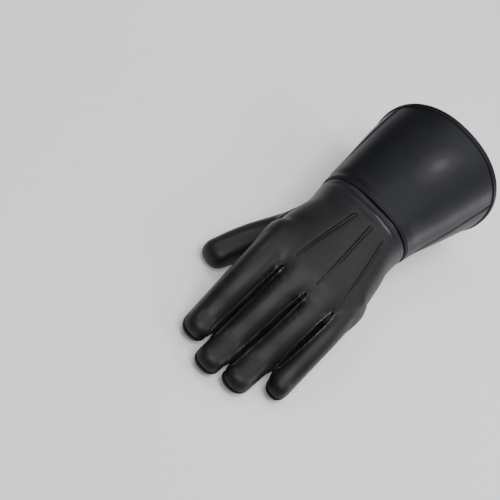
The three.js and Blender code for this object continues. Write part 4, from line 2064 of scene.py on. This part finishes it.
FLOOR_SHADE = shade(0.91, 0.91, 0.915)


# The studio


@dataclass(frozen=True)
class Lamp:
    """A soft rectangular lamp, placed round the glove."""

    name: str
    azimuth: float
    elevation: float
    distance: float
    size: tuple[float, float]
    power: float
    turn: float = 0.0


@dataclass
class Studio:
    """The floor, the lamps and the camera."""

    azimuth: float = 2.3205
    elevation: float = 43.3519
    roll: float = 44.5586
    distance: float = 0.797849
    target: tuple[float, float, float] = (-0.037416, -0.072373, 0.04)
    lens: float = 93.294
    floor_glow: float = 0.2
    floor_half: float = 6.0  # metres
    floor_drop: float = 0.0002  # metres under the surface that the glove rests on
    surround: float = 0.14  # how bright the surroundings are
    lamps: tuple[Lamp, ...] = (
        Lamp("crest", 164.0, 60.0, 1.2, (0.8, 1.3), 6.0),
        Lamp("side", 122.0, 9.0, 1.0, (0.5, 0.22), 2.6),
        Lamp("right", 108.0, 37.0, 1.2, (0.22, 0.22), 2.4),
        Lamp("front_right", 48.0, 66.0, 1.3, (0.5, 0.5), 5.4),
        Lamp("front", -12.0, 70.0, 1.3, (0.4, 0.4), 4.6),
        Lamp("left", -108.0, 57.0, 1.2, (0.24, 0.24), 2.2),
    )

    def build(self) -> None:
        """Makes the floor, the lamps, the pale surroundings and the camera."""
        self.floor()
        for lamp in self.lamps:
            self.hang(lamp)
        world = bpy.data.worlds.new("surroundings")
        world.use_nodes = True
        world.node_tree.nodes["Background"].inputs["Color"].default_value = (0.9, 0.92, 0.95, 1)
        world.node_tree.nodes["Background"].inputs["Strength"].default_value = self.surround
        bpy.context.scene.world = world
        self.camera()

    def floor(self) -> None:
        """Lays the pale floor."""
        mesh = bpy.data.meshes.new("pale_floor")
        corners = [(-1, -1), (1, -1), (1, 1), (-1, 1)]
        places = [(x * self.floor_half, y * self.floor_half, -self.floor_drop) for x, y in corners]
        mesh.from_pydata(places, [], [(0, 1, 2, 3)])
        made = bpy.data.objects.new("pale_floor", mesh)
        bpy.context.scene.collection.objects.link(made)
        sheet = NodeSheet("pale_floor_finish")
        cloud = sheet.noise(sheet.place(), 3.0)
        colour = sheet.mix(cloud, FLOOR_SHADE, shade(0.93, 0.93, 0.93))
        surface = {"Base Color": colour, "Roughness": 0.8, "Emission Strength": self.floor_glow}
        mesh.materials.append(sheet.finish({**surface, "Emission Color": shade(1, 1, 1)}))

    def hang(self, lamp: Lamp) -> None:
        """Hangs one lamp, turned to the glove.

        Args:
            lamp: The lamp's place, size and power.
        """
        light = bpy.data.lights.new(lamp.name, "AREA")
        light.shape = "RECTANGLE"
        light.size, light.size_y = lamp.size
        light.energy = lamp.power
        made = bpy.data.objects.new(lamp.name, light)
        bpy.context.scene.collection.objects.link(made)
        a, e = math.radians(lamp.azimuth), math.radians(lamp.elevation)
        back = Vector((math.sin(a) * math.cos(e), -math.cos(a) * math.cos(e), math.sin(e)))
        made.location = Vector((0, 0, 0.04)) + back * lamp.distance
        turned = (-back).to_track_quat("-Z", "Y").to_matrix()
        turned = turned @ Matrix.Rotation(math.radians(lamp.turn), 3, "Z")
        made.rotation_euler = turned.to_euler()

    def camera(self) -> None:
        """Places the camera and makes it the scene's."""
        data = bpy.data.cameras.new("view")
        data.lens = self.lens
        data.sensor_width = 36.0
        made = bpy.data.objects.new("view", data)
        bpy.context.scene.collection.objects.link(made)
        a, e, r = (math.radians(x) for x in (self.azimuth, self.elevation, self.roll))
        back = Vector((math.sin(a) * math.cos(e), -math.cos(a) * math.cos(e), math.sin(e)))
        level = Vector((math.cos(a), math.sin(a), 0))
        rise = back.cross(level)
        right = level * math.cos(r) + rise * math.sin(r)
        up = rise * math.cos(r) - level * math.sin(r)
        turn = Matrix((right, up, back)).transposed().to_4x4()
        spot = Vector(self.target) + back * self.distance
        made.matrix_world = Matrix.Translation(spot) @ turn
        bpy.context.scene.camera = made


def main() -> None:
    """Builds the studio and the glove, piece by piece."""
    Studio().build()
    hand_finish, cuff_finish = HAND_LEATHER.build(), CUFF_LEATHER.build()
    thread = BLACK_THREAD.build()
    cuff = Cuff(cuff_finish)
    binding = RimBinding(cuff_finish)
    hand = Hand(hand_finish, wrist_line=cuff.form.wrist_line())
    cuff.build()
    binding.build()
    hand.build()
    tree = StitchTree()
    tree.sew("point_stitches", hand.stitch_rows(), Thread(2.1, 1.5, 0.5, 0.34), thread)
    tree.sew("cuff_stitches", cuff.stitch_rows(), Thread(2.3, 1.7, 0.5, 0.36), thread)
    tree.sew("rim_stitches", binding.stitch_rows(), Thread(2.3, 1.6, 0.42, 0.3), thread)


if __name__ == "__main__":
    main()
